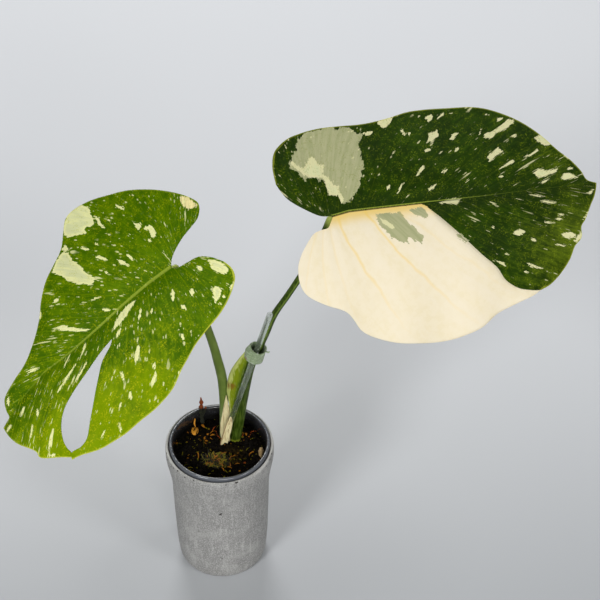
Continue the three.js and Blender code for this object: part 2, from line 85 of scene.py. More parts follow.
class Spline:
    """A smooth curve through points, read by its share of the whole length."""

    DIVISIONS = 200  # the steps in which its length is measured

    def __init__(self, points, centripetal=False):
        self.points = np.array(points, float)
        self.centripetal = centripetal
        self.marks = np.linspace(0, 1, self.DIVISIONS + 1)
        steps = np.linalg.norm(np.diff(self.drawn(self.marks), axis=0), axis=1)
        self.lengths = np.concatenate([[0], np.cumsum(steps)])

    def drawn(self, place):
        last = len(self.points) - 1
        place = np.clip(place, 0, 1) * last
        index = np.minimum(np.floor(place).astype(int), last - 1)
        w = (place - index)[..., None]
        before = self.points[np.maximum(index - 1, 0)]
        start, end = self.points[index], self.points[index + 1]
        after = self.points[np.minimum(index + 2, last)]
        if self.centripetal:
            before = np.where((index == 0)[..., None], 2 * start - end, before)
            after = np.where((index == last - 1)[..., None], 2 * end - start, after)
            g0, g1, g2 = (np.sqrt(np.linalg.norm(b - a, axis=-1, keepdims=True))
                          for a, b in ((before, start), (start, end), (end, after)))
            leave = ((start - before) / g0 - (end - before) / (g0 + g1)) * g1 + (end - start)
            arrive = ((after - end) / g2 - (after - start) / (g1 + g2)) * g1 + (end - start)
        else:
            leave, arrive = (end - before) / 2, (after - start) / 2
        return (start + leave * w + (3 * (end - start) - 2 * leave - arrive) * w ** 2
                + (2 * (start - end) + leave + arrive) * w ** 3)

    def at(self, share):
        return self.drawn(np.interp(np.asarray(share) * self.lengths[-1], self.lengths, self.marks))


def put(name, data):
    """A new object in the scene for a mesh, a lamp or a camera."""
    thing = bpy.data.objects.new(name, data)
    bpy.context.scene.collection.objects.link(thing)
    return thing


def mark(mesh, label, values):
    """Keeps a number on each point of a mesh, for materials and Geometry Nodes to read by its label."""
    layer = mesh.attributes.new(label, "FLOAT", "POINT")
    layer.data.foreach_set("value", np.asarray(values, np.float32))


def make_piece(name, corners, faces, material, marks=None, maps=None, crease=None):
    """A mesh from corners in millimetres, with marks on its points, UV maps, and creases past an angle."""
    mesh = bpy.data.meshes.new(name)
    mesh.from_pydata((np.asarray(corners, float) * MM).tolist(), [], faces)
    for label, values in (marks or {}).items():
        mark(mesh, label, values)
    ends = np.zeros(len(mesh.loops), int)
    mesh.loops.foreach_get("vertex_index", ends)
    for label, places in (maps or {}).items():
        layer = mesh.uv_layers.new(name=label)
        layer.data.foreach_set("uv", np.asarray(places, np.float32)[ends].ravel())
    mesh.polygons.foreach_set("use_smooth", np.ones(len(mesh.polygons), bool))
    if crease:
        mesh.set_sharp_from_angle(angle=math.radians(crease))
    mesh.materials.append(material)
    return put(name, mesh)


def joined(name, pieces):
    """Several mesh objects as one."""
    with bpy.context.temp_override(active_object=pieces[0], selected_editable_objects=pieces,
                                   selected_objects=pieces, object=pieces[0]):
        bpy.ops.object.join()
    pieces[0].name = name
    pieces[0].data.name = name
    return pieces[0]


def seat(piece, node):
    """Fixes a finished piece to the plant's one body and hides the imported node that it stands for."""
    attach(piece, BODY)
    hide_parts(node)


def plain_mesh(piece):
    """The mesh that a piece's modifiers give it."""
    return bpy.data.meshes.new_from_object(piece.evaluated_get(bpy.context.evaluated_depsgraph_get()))


def tube_faces(rings, sides, capped=True):
    """Faces of a tube whose rings of corners follow one another, with a middle corner at each capped end."""
    faces = []
    for ring in range(rings - 1):
        for k in range(sides):
            a, b = ring * sides + k, ring * sides + (k + 1) % sides
            faces.append((a, b, b + sides, a + sides))
    if capped:
        last, foot = (rings - 1) * sides, rings * sides
        for k in range(sides):
            faces.append(((k + 1) % sides, k, foot))
            faces.append((last + k, last + (k + 1) % sides, foot + 1))
    return faces


def sweep(name, material, path, steps, sides, widths, depths, across=1.0):
    """A closed body along a path, with half widths and half depths spread along it. Its marks are the share
    of the way along it, and how far to the side a point lies: from -across to across."""
    share = np.linspace(0, 1, steps + 1)
    middle = Spline(path, centripetal=True).at(share)
    along = np.gradient(middle, axis=0)
    along /= np.linalg.norm(along, axis=1, keepdims=True)
    side = np.cross((0, 1, 0), along)
    side /= np.linalg.norm(side, axis=1, keepdims=True)
    depth = np.cross(along, side)
    angle = around(sides)
    rings = (middle[:, None]
             + side[:, None] * (spread(widths, share)[:, None] * np.cos(angle))[..., None]
             + depth[:, None] * (spread(depths, share)[:, None] * np.sin(angle))[..., None])
    corners = np.vstack([rings.reshape(-1, 3), middle[:1], middle[-1:]])
    marks = {"along": np.append(np.repeat(share, sides), [0, 1]),
             "across": np.append(np.tile(np.cos(angle) * across, steps + 1), [0, 0])}
    return make_piece(name, corners, tube_faces(steps + 1, sides), material, marks)


def lathe(profile, segments):
    """Corners and faces of a turned body. The profile of (radius, height) starts and ends on the axis."""
    profile = np.asarray(profile, float)
    angle = around(segments)
    inner = profile[1:-1]
    rings = np.stack([inner[:, :1] * np.cos(angle), inner[:, :1] * np.sin(angle),
                      np.repeat(inner[:, 1:], segments, axis=1)], axis=-1)
    ends = [(0, 0, profile[0][1]), (0, 0, profile[-1][1])]
    return np.vstack([rings.reshape(-1, 3), ends]), tube_faces(len(inner), segments)


def cushion(name, material, centre, size, segments, rows, swell=0.0):
    """A rounded lump about a place, with its half sizes. Swell makes it uneven."""
    turn = np.linspace(-math.pi / 2, math.pi / 2, rows)
    corners, faces = lathe(np.column_stack([np.cos(turn), np.sin(turn)]), segments)
    x, y, z = corners.T
    grow = 1 + swell * np.sin(7 * x + 1) * np.sin(6 * y) + swell * 0.6 * np.sin(9 * z)
    return make_piece(name, corners * grow[:, None] * size + centre, faces, material)


# Node trees


class Value:
    """A number from a node of a tree. Arithmetic on it adds the Math node for it."""

    def __init__(self, work, socket):
        self.work = work
        self.socket = socket

    def __add__(self, other):
        return self.work.math("ADD", self, other)

    def __sub__(self, other):
        return self.work.math("SUBTRACT", self, other)

    def __rsub__(self, other):
        return self.work.math("SUBTRACT", other, self)

    def __mul__(self, other):
        return self.work.math("MULTIPLY", self, other)

    def __truediv__(self, other):
        return self.work.math("DIVIDE", self, other)


class Work:
    """A node tree being made."""

    def join(self, value, socket):
        """Links a node's output to a socket, or sets the socket to a plain value."""
        if isinstance(value, Value):
            value = value.socket
        if isinstance(value, bpy.types.NodeSocket):
            self.tree.links.new(value, socket)
        else:
            socket.default_value = value

    def node(self, kind, settings=None, **values):
        """A new node, set up, with values joined to its inputs by their names."""
        node = self.tree.nodes.new(kind)
        for label, value in (settings or {}).items():
            setattr(node, label, value)
        for label, value in values.items():
            name = label.replace("_", " ")
            self.join(value, next(s for s in node.inputs if s.enabled and s.name == name))
        return node

    def math(self, operation, *values):
        node = self.tree.nodes.new("ShaderNodeMath")
        node.operation = operation
        for value, socket in zip(values, node.inputs):
            self.join(value, socket)
        return Value(self, node.outputs["Value"])


class Finish(Work):
    """One material being mixed. Each method adds nodes and gives back their output."""

    FIRST_COLOUR, SECOND_COLOUR, MIXED_COLOUR = 6, 7, 2  # which of a Mix node's sockets are for colours

    def __init__(self, name, roughness, **plain):
        self.material = bpy.data.materials.new(name)
        self.material.use_nodes = True
        self.tree = self.material.node_tree
        self.shader = self.tree.nodes["Principled BSDF"]
        self.show(Roughness=roughness, **plain)

    def place(self):
        return self.node("ShaderNodeTexCoord").outputs["Object"]

    def coordinate(self, axis):
        """X, Y or Z, in millimetres."""
        parts = self.node("ShaderNodeSeparateXYZ", Vector=self.place())
        return Value(self, parts.outputs[axis]) / MM

    def from_axis(self):
        """The distance from the pot's upright axis, in millimetres."""
        flat = self.scaled(self.place(), (1, 1, 0))
        out = self.node("ShaderNodeVectorMath", {"operation": "LENGTH"}, Vector=flat)
        return Value(self, out.outputs["Value"]) / MM

    def map(self, name):
        return self.node("ShaderNodeUVMap", {"uv_map": name}).outputs["UV"]

    def value(self, label):
        """What the piece's points are marked with."""
        return Value(self, self.node("ShaderNodeAttribute", {"attribute_name": label}).outputs["Fac"])

    def scaled(self, vector, scale):
        return self.node("ShaderNodeMapping", Vector=vector, Scale=scale).outputs["Vector"]

    def step(self, value, low, high, least=0.0, most=1.0):
        node = self.node("ShaderNodeMapRange", {"interpolation_type": "SMOOTHSTEP"}, Value=value,
                         From_Min=low, From_Max=high, To_Min=least, To_Max=most)
        return Value(self, node.outputs["Result"])

    def noise(self, vector, scale, detail=2.0, roughness=0.5):
        node = self.node("ShaderNodeTexNoise", Vector=vector, Scale=scale, Detail=detail,
                         Roughness=roughness)
        return Value(self, node.outputs["Fac"])

    def grain(self, scale, detail=4.0, roughness=0.5, stretch=None):
        """Noise all through a piece, drawn out along each axis whose share in the stretch is small."""
        place = self.scaled(self.place(), stretch) if stretch else self.place()
        return self.noise(place, scale, detail, roughness)

    def mix(self, share, first, second):
        node = self.node("ShaderNodeMix", {"data_type": "RGBA"}, Factor=share)
        self.join(first, node.inputs[self.FIRST_COLOUR])
        self.join(second, node.inputs[self.SECOND_COLOUR])
        return node.outputs[self.MIXED_COLOUR]

    def layered(self, tone, *layers):
        """A tone with shades laid over it in turn, each by its pattern's step from low to high."""
        for shade, pattern, low, high, most in layers:
            tone = self.mix(self.step(pattern, low, high, most=most), tone, shade)
        return tone

    def dots(self, vector, scale, radius, share, rough):
        """Small marks with rough edges: one in each cell that draws a number under share."""
        cell = self.node("ShaderNodeTexVoronoi", Vector=vector, Scale=scale)
        drawn = self.node("ShaderNodeSeparateColor", Color=cell.outputs["Color"])
        size = (Value(self, drawn.outputs["Green"]) + 0.35) * radius
        gap = Value(self, cell.outputs["Distance"]) * (rough * 2.4 - 0.2)
        return self.step(gap / size, 1.15, 0.75) * self.math("LESS_THAN", drawn.outputs["Red"], share)

    def spot(self, centre, radius):
        """One round mark about a place. It is full within its core and fades to its radius."""
        core = radius * 0.35
        gap = self.node("ShaderNodeVectorMath", {"operation": "DISTANCE"}, Vector=self.place())
        self.join([c * MM for c in centre], gap.inputs[1])
        return self.step(gap.outputs["Value"], radius * MM, core * MM)

    def bump(self, height, depth):
        return self.node("ShaderNodeBump", Height=height, Distance=depth * MM).outputs["Normal"]

    def show(self, **sockets):
        """Joins values to the shader's sockets and gives back the material."""
        for label, value in sockets.items():
            self.join(value, self.shader.inputs[label.replace("_", " ")])
        return self.material


class Growth(Work):
    """A Geometry Nodes tree being made, with named inputs for its sizes and one for the material."""

    def __init__(self, name, inputs):
        self.tree = bpy.data.node_groups.new(name, "GeometryNodeTree")
        sockets = self.tree.interface
        sockets.new_socket("Geometry", in_out="INPUT", socket_type="NodeSocketGeometry")
        for label, (kind, value) in inputs.items():
            socket = sockets.new_socket(label, in_out="INPUT", socket_type="NodeSocket" + kind)
            socket.default_value = value
        sockets.new_socket("Material", in_out="INPUT", socket_type="NodeSocketMaterial")
        sockets.new_socket("Geometry", in_out="OUTPUT", socket_type="NodeSocketGeometry")
        self.given = self.tree.nodes.new("NodeGroupInput").outputs

    def add(self, kind, settings=None, **values):
        """Adds a node and gives back its first output."""
        return next(s for s in self.node(kind, settings, **values).outputs if s.enabled)

    def random(self, offset, least, most):
        """A number or a vector for each point or copy, drawn with the tree's seed and an offset to it."""
        kind = "FLOAT_VECTOR" if isinstance(most, tuple) else "FLOAT"
        return self.add("FunctionNodeRandomValue", {"data_type": kind}, Min=least, Max=most,
                        Seed=self.math("ADD", self.given["Seed"], offset))

    def store(self, geometry, name, value, domain="POINT"):
        return self.add("GeometryNodeStoreNamedAttribute", {"data_type": "FLOAT", "domain": domain},
                        Geometry=geometry, Name=name, Value=value)

    def finish(self, geometry):
        """Ends the tree: every copy made real, and the material set."""
        real = self.add("GeometryNodeRealizeInstances", Geometry=geometry)
        dressed = self.add("GeometryNodeSetMaterial", Geometry=real, Material=self.given["Material"])
        self.tree.links.new(dressed, self.tree.nodes.new("NodeGroupOutput").inputs["Geometry"])
        return self

    def on(self, source, name, material, **values):
        """The plain piece that this tree makes from a source object, which goes."""
        modifier = source.modifiers.new(self.tree.name, "NODES")
        modifier.node_group = self.tree
        codes = {item.name: item.identifier for item in self.tree.interface.items_tree
                 if item.in_out == "INPUT"}
        for label, value in {"Material": material, **values}.items():
            modifier[codes[label.replace("_", " ")]] = value
        mesh = plain_mesh(source)
        source.modifiers.clear()
        bpy.data.objects.remove(source)
        mesh.name = name
        return put(name, mesh)


def stalk_growth():
    """A tube along a line of points, whose marks "thick" are its radii, with a keel along one side."""
    growth = Growth("Stalk", {"Sides": ("Int", 20), "Keel": ("Float", 0.0)})
    line = growth.add("GeometryNodeMeshToCurve", Mesh=growth.given["Geometry"])
    line = growth.store(line, "along", growth.add("GeometryNodeSplineParameter"))
    line = growth.add("GeometryNodeSetCurveNormal", {"mode": "FREE"}, Curve=line, Normal=(0, -1, 0))
    ring = growth.add("GeometryNodeCurvePrimitiveCircle", Resolution=growth.given["Sides"], Radius=1.0)
    place = growth.add("GeometryNodeInputPosition")
    sharpness = 14.0
    front = growth.node("ShaderNodeSeparateXYZ", Vector=place).outputs["X"]
    front = growth.math("MAXIMUM", front, 0.0)
    ridge = growth.math("POWER", front, sharpness)
    ring = growth.store(ring, "keel", ridge)
    raised = growth.add("ShaderNodeVectorMath", {"operation": "SCALE"}, Vector=place,
                        Scale=ridge * growth.given["Keel"])
    ring = growth.add("GeometryNodeSetPosition", Geometry=ring, Offset=raised)
    thick = growth.add("GeometryNodeInputNamedAttribute", {"data_type": "FLOAT"}, Name="thick")
    tube = growth.add("GeometryNodeCurveToMesh", Curve=line, Profile_Curve=ring, Scale=thick, Fill_Caps=True)
    return growth.finish(growth.add("GeometryNodeSetShadeSmooth", Geometry=tube))


def line_of(path, radii, steps, tip=0.0):
    """A line of points along a path, as the source of a stalk with these radii spread along it. It narrows
    over the tip's length."""
    share = np.linspace(0, 1, steps + 1)
    curve = Spline(path, centripetal=True)
    radius = spread(radii, share)
    if tip:
        narrowing = 0.55
        radius = radius * (1 - narrowing * smooth_step(share, 1 - tip / curve.lengths[-1], 1))
    mesh = bpy.data.meshes.new("line")
    mesh.from_pydata((curve.at(share) * MM).tolist(), [(k, k + 1) for k in range(steps)], [])
    mark(mesh, "thick", radius * MM)
    return put("line", mesh)


def litter_growth(kind):
    """Crumbs or curled threads strewn over the upward faces of a surface, each with a tone of its own."""
    growth = Growth("Strewn " + kind, {
        "Density": ("Float", 1000.0), "Smallest": ("Float", 0.5 * MM), "Largest": ("Float", 1.5 * MM),
        "Seed": ("Int", 1), "Keep surface": ("Bool", False)})
    given = growth.given
    least_rise, tilt, full_turn = 0.35, 0.5, 6.283
    normal = growth.add("GeometryNodeInputNormal")
    rise = growth.node("ShaderNodeSeparateXYZ", Vector=normal).outputs["Z"]
    upward = growth.add("FunctionNodeCompare", {"data_type": "FLOAT", "operation": "GREATER_THAN"},
                        A=rise, B=least_rise)
    points = growth.add("GeometryNodeDistributePointsOnFaces", Mesh=given["Geometry"], Selection=upward,
                        Density=given["Density"], Seed=given["Seed"])
    if kind == "crumbs":
        unit = growth.add("GeometryNodeMeshIcoSphere", Radius=0.5, Subdivisions=1)
        flattest = (0.5, 0.5, 0.35)
    else:
        thread = growth.add("GeometryNodeCurveQuadraticBezier", Resolution=5, Start=(0, 0, 0),
                            Middle=(0.25, 0.1, 0.75), End=(0.8, -0.1, 0.45))
        ring = growth.add("GeometryNodeCurvePrimitiveCircle", Resolution=4, Radius=0.075)
        unit = growth.add("GeometryNodeCurveToMesh", Curve=thread, Profile_Curve=ring, Fill_Caps=True)
        flattest = (0.8, 0.8, 0.6)
    turn = growth.random(0, (-tilt, -tilt, 0), (tilt, tilt, full_turn))
    turn = growth.add("FunctionNodeEulerToRotation", Euler=turn)
    size = growth.random(1, given["Smallest"], given["Largest"])
    shape = growth.random(2, flattest, (1.4, 1.2, 1.0))
    scale = growth.add("ShaderNodeVectorMath", {"operation": "SCALE"}, Vector=shape, Scale=size)
    copies = growth.add("GeometryNodeInstanceOnPoints", Points=points, Instance=unit, Rotation=turn,
                        Scale=scale)
    copies = growth.store(copies, "tone", growth.random(3, 0.02, 1.0), "INSTANCE")
    both = growth.node("GeometryNodeJoinGeometry")
    switch = growth.node("GeometryNodeSwitch", {"input_type": "GEOMETRY"}, Switch=given["Keep surface"])
    growth.join(given["Geometry"], switch.inputs["True"])
    growth.join(switch.outputs[0], both.inputs[0])
    growth.join(copies, both.inputs[0])
    return growth.finish(both.outputs[0])


# Leaves


FAR = 6.0  # past this depth inside a patch, or distance outside it, nothing changes


class Blade:
    """A leaf on its own plan: u runs from the stalk towards the tip, and v to the left, seen from above.

    It droops towards the tip and lifts at the heel, by shares of its length, and bends down on its left and
    right, by shares of its half width. The groove along the midrib has a depth and a reach, the wave has a
    height and a length, and the quilt is how far the blade swells between veins. Its painted light makes the
    green lighter where light falls on the blade; each part of it is a strength, the stretch along the blade
    where it grows and, if it is on one side, the stretch across.
    """

    ROWS, COLUMNS, SPLIT = 220, 72, 105  # one side has two lobes, which meet at the row SPLIT
    ROW_CROWDING, COLUMN_CROWDING = 0.35, 0.6
    COARSE_COLUMNS = 9  # the columns in which a split's shared length is counted
    VEIN_LEAN, VEIN_FAN, VEIN_CURVE = 0.1, 55, 0.004
    HEEL_FAN = 0.25  # how far apart the veins of the heel start, against the others
    FIRST_GAP, LAST_GAP = 12, 28  # between veins before the first and after the last one that is placed
    RIB_RISE = 0.45  # how far the midrib stands out above
    RIB_REACH, RIB_TIP_REACH, RIB_HEEL = 2.1, 0.7, 2.5  # to its sides, and behind the stalk
    THIN_MARGIN = 0.55  # the share of the thickness that the margin has
    MARGIN_SEEN = 8  # how far in from the margin it is measured
    # the painted light that every place of a blade gets
    PAINTED_LIGHT_EVERYWHERE = 0.22

    def __init__(self, **leaf):
        self.__dict__.update(leaf)
        self.junction = np.array(self.junction, float)
        self.tipwards = np.array(self.tipwards, float)
        self.tipwards /= np.linalg.norm(self.tipwards)
        self.up = np.array(self.facing, float)
        self.up -= self.tipwards * (self.up @ self.tipwards)
        self.up /= np.linalg.norm(self.up)
        self.left = np.cross(self.up, self.tipwards)
        self.spine = Spline(self.midrib)
        self.midrib = np.array(self.midrib, float)

    def behind(self, distance):
        """The point this far under the upper face, where the stalk meets the blade."""
        return (self.junction - self.up * distance).tolist()

    def across(self, u, v):
        """How far to the left of the midrib a place lies."""
        return v - np.interp(u, self.midrib[:, 0], self.midrib[:, 1])

    def height(self, u, v):
        across = self.across(u, v)
        reach = np.abs(across) / self.half_width
        slope = np.where(u > 0, -self.droop, self.heel_lift) * self.length * (u / self.length) ** 2
        roof = -np.where(across > 0, self.bend[0], self.bend[1]) * self.half_width * reach ** 2
        channel = self.groove[0] * (1 - np.exp(-np.abs(across) / self.groove[1]))
        turn = np.where(across > 0, 0, 2)
        ripple = self.wave[0] * reach ** 2 * np.sin(2 * np.pi * u / self.wave[1] + turn)
        return slope + roof + channel + ripple

    def veins(self, u, v):
        """How far along the midrib the vein through a place starts, its running number, and the gap to the
        next vein."""
        away = np.abs(self.across(u, v))
        level = u - away * self.VEIN_LEAN - self.VEIN_CURVE * away ** 2
        fan = np.where(level > 0, 1, self.HEEL_FAN) + away / self.VEIN_FAN
        start = level / fan
        starts = np.array(self.vein_starts, float)
        number = np.interp(start, starts, np.arange(len(starts)))
        number += np.maximum(start - starts[-1], 0) / self.LAST_GAP
        number += np.minimum(start - starts[0], 0) / self.FIRST_GAP
        lean = self.VEIN_LEAN + start / self.VEIN_FAN + 2 * self.VEIN_CURVE * away
        gap = np.interp(start, (starts[1:] + starts[:-1]) / 2, np.diff(starts))
        return start, number, gap * fan / np.sqrt(1 + lean ** 2)

    def edge(self, end, foot):
        """A lobe's first or last edge: from the midrib, along what it shares, then out to the margin. A lobe
        without one ends at the tip."""
        if not end:
            return lambda r: np.tile(self.midrib[-1], (len(r), 1))
        curve = Spline(end["edge"])
        shared = end.get("shared", 0) / self.COARSE_COLUMNS

        def place(r):
            out = curve.at(np.clip((r - shared) / (1 - shared), 0, 1))
            if shared:
                share = (r / shared)[:, None]
                near = foot * (1 - share) + np.array(end["edge"][0]) * share
                out = np.where(share < 1, near, out)
            return out
        return place

    def lobe_grid(self, lobe):
        """Plan places and lifts of one lobe, in rows from heel to tip and columns from midrib to margin."""
        first_row, last_row = lobe["rows"]
        rows = last_row - first_row
        t = np.linspace(0, 1, rows + 1)[:, None, None]
        r = crowded(np.linspace(0, 1, self.COLUMNS + 1), self.COLUMN_CROWDING)
        along = np.linspace(first_row, last_row, rows + 1) / self.ROWS
        inner = self.spine.at(crowded(along, self.ROW_CROWDING))
        margin = Spline(lobe["margin"]).at(t[:, 0, 0])
        first = self.edge(lobe.get("first"), inner[0])(r)
        last = self.edge(lobe.get("last"), inner[-1])(r)
        out = r[None, :, None]
        place = (first[None] * (1 - t) + last[None] * t + inner[:, None] * (1 - out) + margin[:, None] * out
                 - inner[0] * (1 - t) * (1 - out) - inner[-1] * t * (1 - out)
                 - margin[0] * (1 - t) * out - margin[-1] * t * out)
        lift = np.zeros(place.shape[:2])
        for end, near in ((lobe.get("first"), 1 - t[:, :, 0]), (lobe.get("last"), t[:, :, 0])):
            if end and "lift" in end:
                height, start, stop = end["lift"]
                lift += height * near ** 3 * smooth_step(r, start, stop)[None]
        return place, lift

    def merged(self):
        """The lobes as one sheet: its plan places, their lifts and lobes, and the faces between them."""
        plans, lifts, owners, quads = [], [], [], []
        count = 0
        for owner, lobe in enumerate(self.lobes):
            place, lift = self.lobe_grid(lobe)
            number = np.arange(count, count + lift.size).reshape(lift.shape)
            ring = np.stack([number[:-1, :-1], number[1:, :-1], number[1:, 1:], number[:-1, 1:]], axis=-1)
            turned = np.median(self.across(place[..., 0], place[..., 1])) < 0
            quads.append(ring.reshape(-1, 4)[:, ::-1] if turned else ring.reshape(-1, 4))
            plans.append(place.reshape(-1, 2))
            lifts.append(lift.ravel())
            owners.append(np.full(lift.size, owner))
            count += lift.size
        plan, lift, owner, quads = (np.concatenate(part) for part in (plans, lifts, owners, quads))
        keys = np.round(np.column_stack([plan, lift]), 3)
        _, first, inverse = np.unique(keys, axis=0, return_index=True, return_inverse=True)
        faces = []
        for quad in inverse.ravel()[quads].tolist():
            corners = [c for k, c in enumerate(quad) if c != quad[k - 1]]
            if len(set(corners)) >= 3:
                faces.append(corners)
        return plan[first], lift[first], owner[first], faces

    def build(self, name, material, thickness, rib_depth):
        """The blade as one closed body: upper faces, the same below, and a wall along every open edge."""
        plan, lift, owner, faces = self.merged()
        u, v = plan.T
        across, along = self.across(u, v), u / self.length
        away, share = np.abs(across), np.clip(along, 0, 1)
        start, vein, gap = self.veins(u, v)
        margin = np.minimum(distance_to(plan, [lobe["margin"] for lobe in self.lobes]), self.MARGIN_SEEN)

        swollen = 0.5 - 0.5 * np.cos(2 * np.pi * vein)
        swollen *= smooth_step(away, 3, 14) * smooth_step(margin, 0, 6)
        reach = self.RIB_REACH + (self.RIB_TIP_REACH - self.RIB_REACH) * share
        ribbed = np.exp(-(away / reach) ** 2) * np.where(u < 0, np.exp(-(u / self.RIB_HEEL) ** 2), 1)
        upper = self.height(u, v) + lift + self.quilt * swollen + self.RIB_RISE * (1 - 0.6 * share) * ribbed
        depth = thickness * (self.THIN_MARGIN + (1 - self.THIN_MARGIN) * smooth_step(margin, 0, 5))
        depth += rib_depth * (1 - 0.75 * share) * ribbed
        place = self.junction + self.tipwards * u[:, None] + self.left * v[:, None]
        top = place + self.up * upper[:, None]
        below = place + self.up * (upper - depth - self.RIB_RISE * ribbed)[:, None]

        size = len(top)
        edges = set()
        for face in faces:
            edges.update(zip(face, face[1:] + face[:1]))
        walls = [(b, a, a + size, b + size) for a, b in edges if (b, a) not in edges]
        under = [tuple(c + size for c in reversed(face)) for face in faces]
        marks = {**self.patches(plan, owner), "vein": vein, "vein_gap": np.clip(gap, 2, 60),
                 "across": across, "margin": margin, "along": along, "sun": self.painted_light_share(along, across)}
        marks = {label: np.tile(value, 2) for label, value in marks.items()}
        marks["under"] = np.repeat([0, 1], size)
        maps = {"plan": np.tile(plan * MM, (2, 1)),
                "veinwise": np.tile(np.column_stack([start, away]) * MM, (2, 1))}
        corners = np.concatenate([top, below])
        return make_piece(name, corners, faces + under + walls, material, marks, maps, crease=70)

    def patches(self, plan, owner):
        """How far inside each kind of patch a place lies, in millimetres: less than nothing outside them."""
        pale = np.maximum(within(plan, self.pale), streaked(plan, self.streaks))
        cream = np.full(len(plan), -FAR)
        if self.cream_border:
            cream = np.where(owner == 1, 1, -1) * np.minimum(distance_to(plan, [self.cream_border]), FAR)
        return {"pale": pale, "sage": within(plan, self.sage), "cream": cream}

    def painted_light_share(self, along, across):
        """Painted light: how much lighter each place is painted for the light that falls on it, from 0 to 1.
        """
        lit = self.PAINTED_LIGHT_EVERYWHERE
        for share, lengthwise, sideways in self.sun:
            side = smooth_step(across, *sideways) if sideways else 1
            lit = lit + share * smooth_step(along, *lengthwise) * side
        return lit


def distance_to(places, lines):
    """Distance from each place to the nearest of several lines of points."""
    best = np.full(len(places), np.inf)
    for line in lines:
        line = np.array(line, float)
        for a, b in zip(line[:-1], line[1:]):
            share = np.clip((places - a) @ (b - a) / max((b - a) @ (b - a), 1e-9), 0, 1)
            best = np.minimum(best, np.linalg.norm(places - a - share[:, None] * (b - a), axis=1))
    return best


def within(places, outlines):
    """Depth inside any of the outlines, or the distance outside them as a negative number."""
    deepest = np.full(len(places), -FAR)
    for outline in outlines:
        points = np.array(outline, float)
        inside = np.zeros(len(places), bool)
        for (ax, ay), (bx, by) in zip(points, np.roll(points, -1, axis=0)):
            if ay != by:
                crosses = (ay > places[:, 1]) != (by > places[:, 1])
                inside ^= crosses & (places[:, 0] < ax + (places[:, 1] - ay) * (bx - ax) / (by - ay))
        gap = distance_to(places, [np.vstack([points, points[:1]])])
        deepest = np.maximum(deepest, np.where(inside, gap, -gap))
    return np.clip(deepest, -FAR, FAR)


def streaked(places, streaks):
    """The same for short streaks, given by their two ends and their width, that narrow to both ends."""
    narrowest = 1.6
    deepest = np.full(len(places), -FAR)
    for ax, ay, bx, by, width in streaks:
        a, b = np.array((ax, ay), float), np.array((bx, by), float)
        share = np.clip((places - a) @ (b - a) / ((b - a) @ (b - a)), 0, 1)
        gap = np.linalg.norm(places - a - share[:, None] * (b - a), axis=1)
        half_width = max(width, narrowest) / 2 * (1 - 0.6 * (2 * share - 1) ** 2)
        deepest = np.maximum(deepest, half_width - gap)
    return deepest


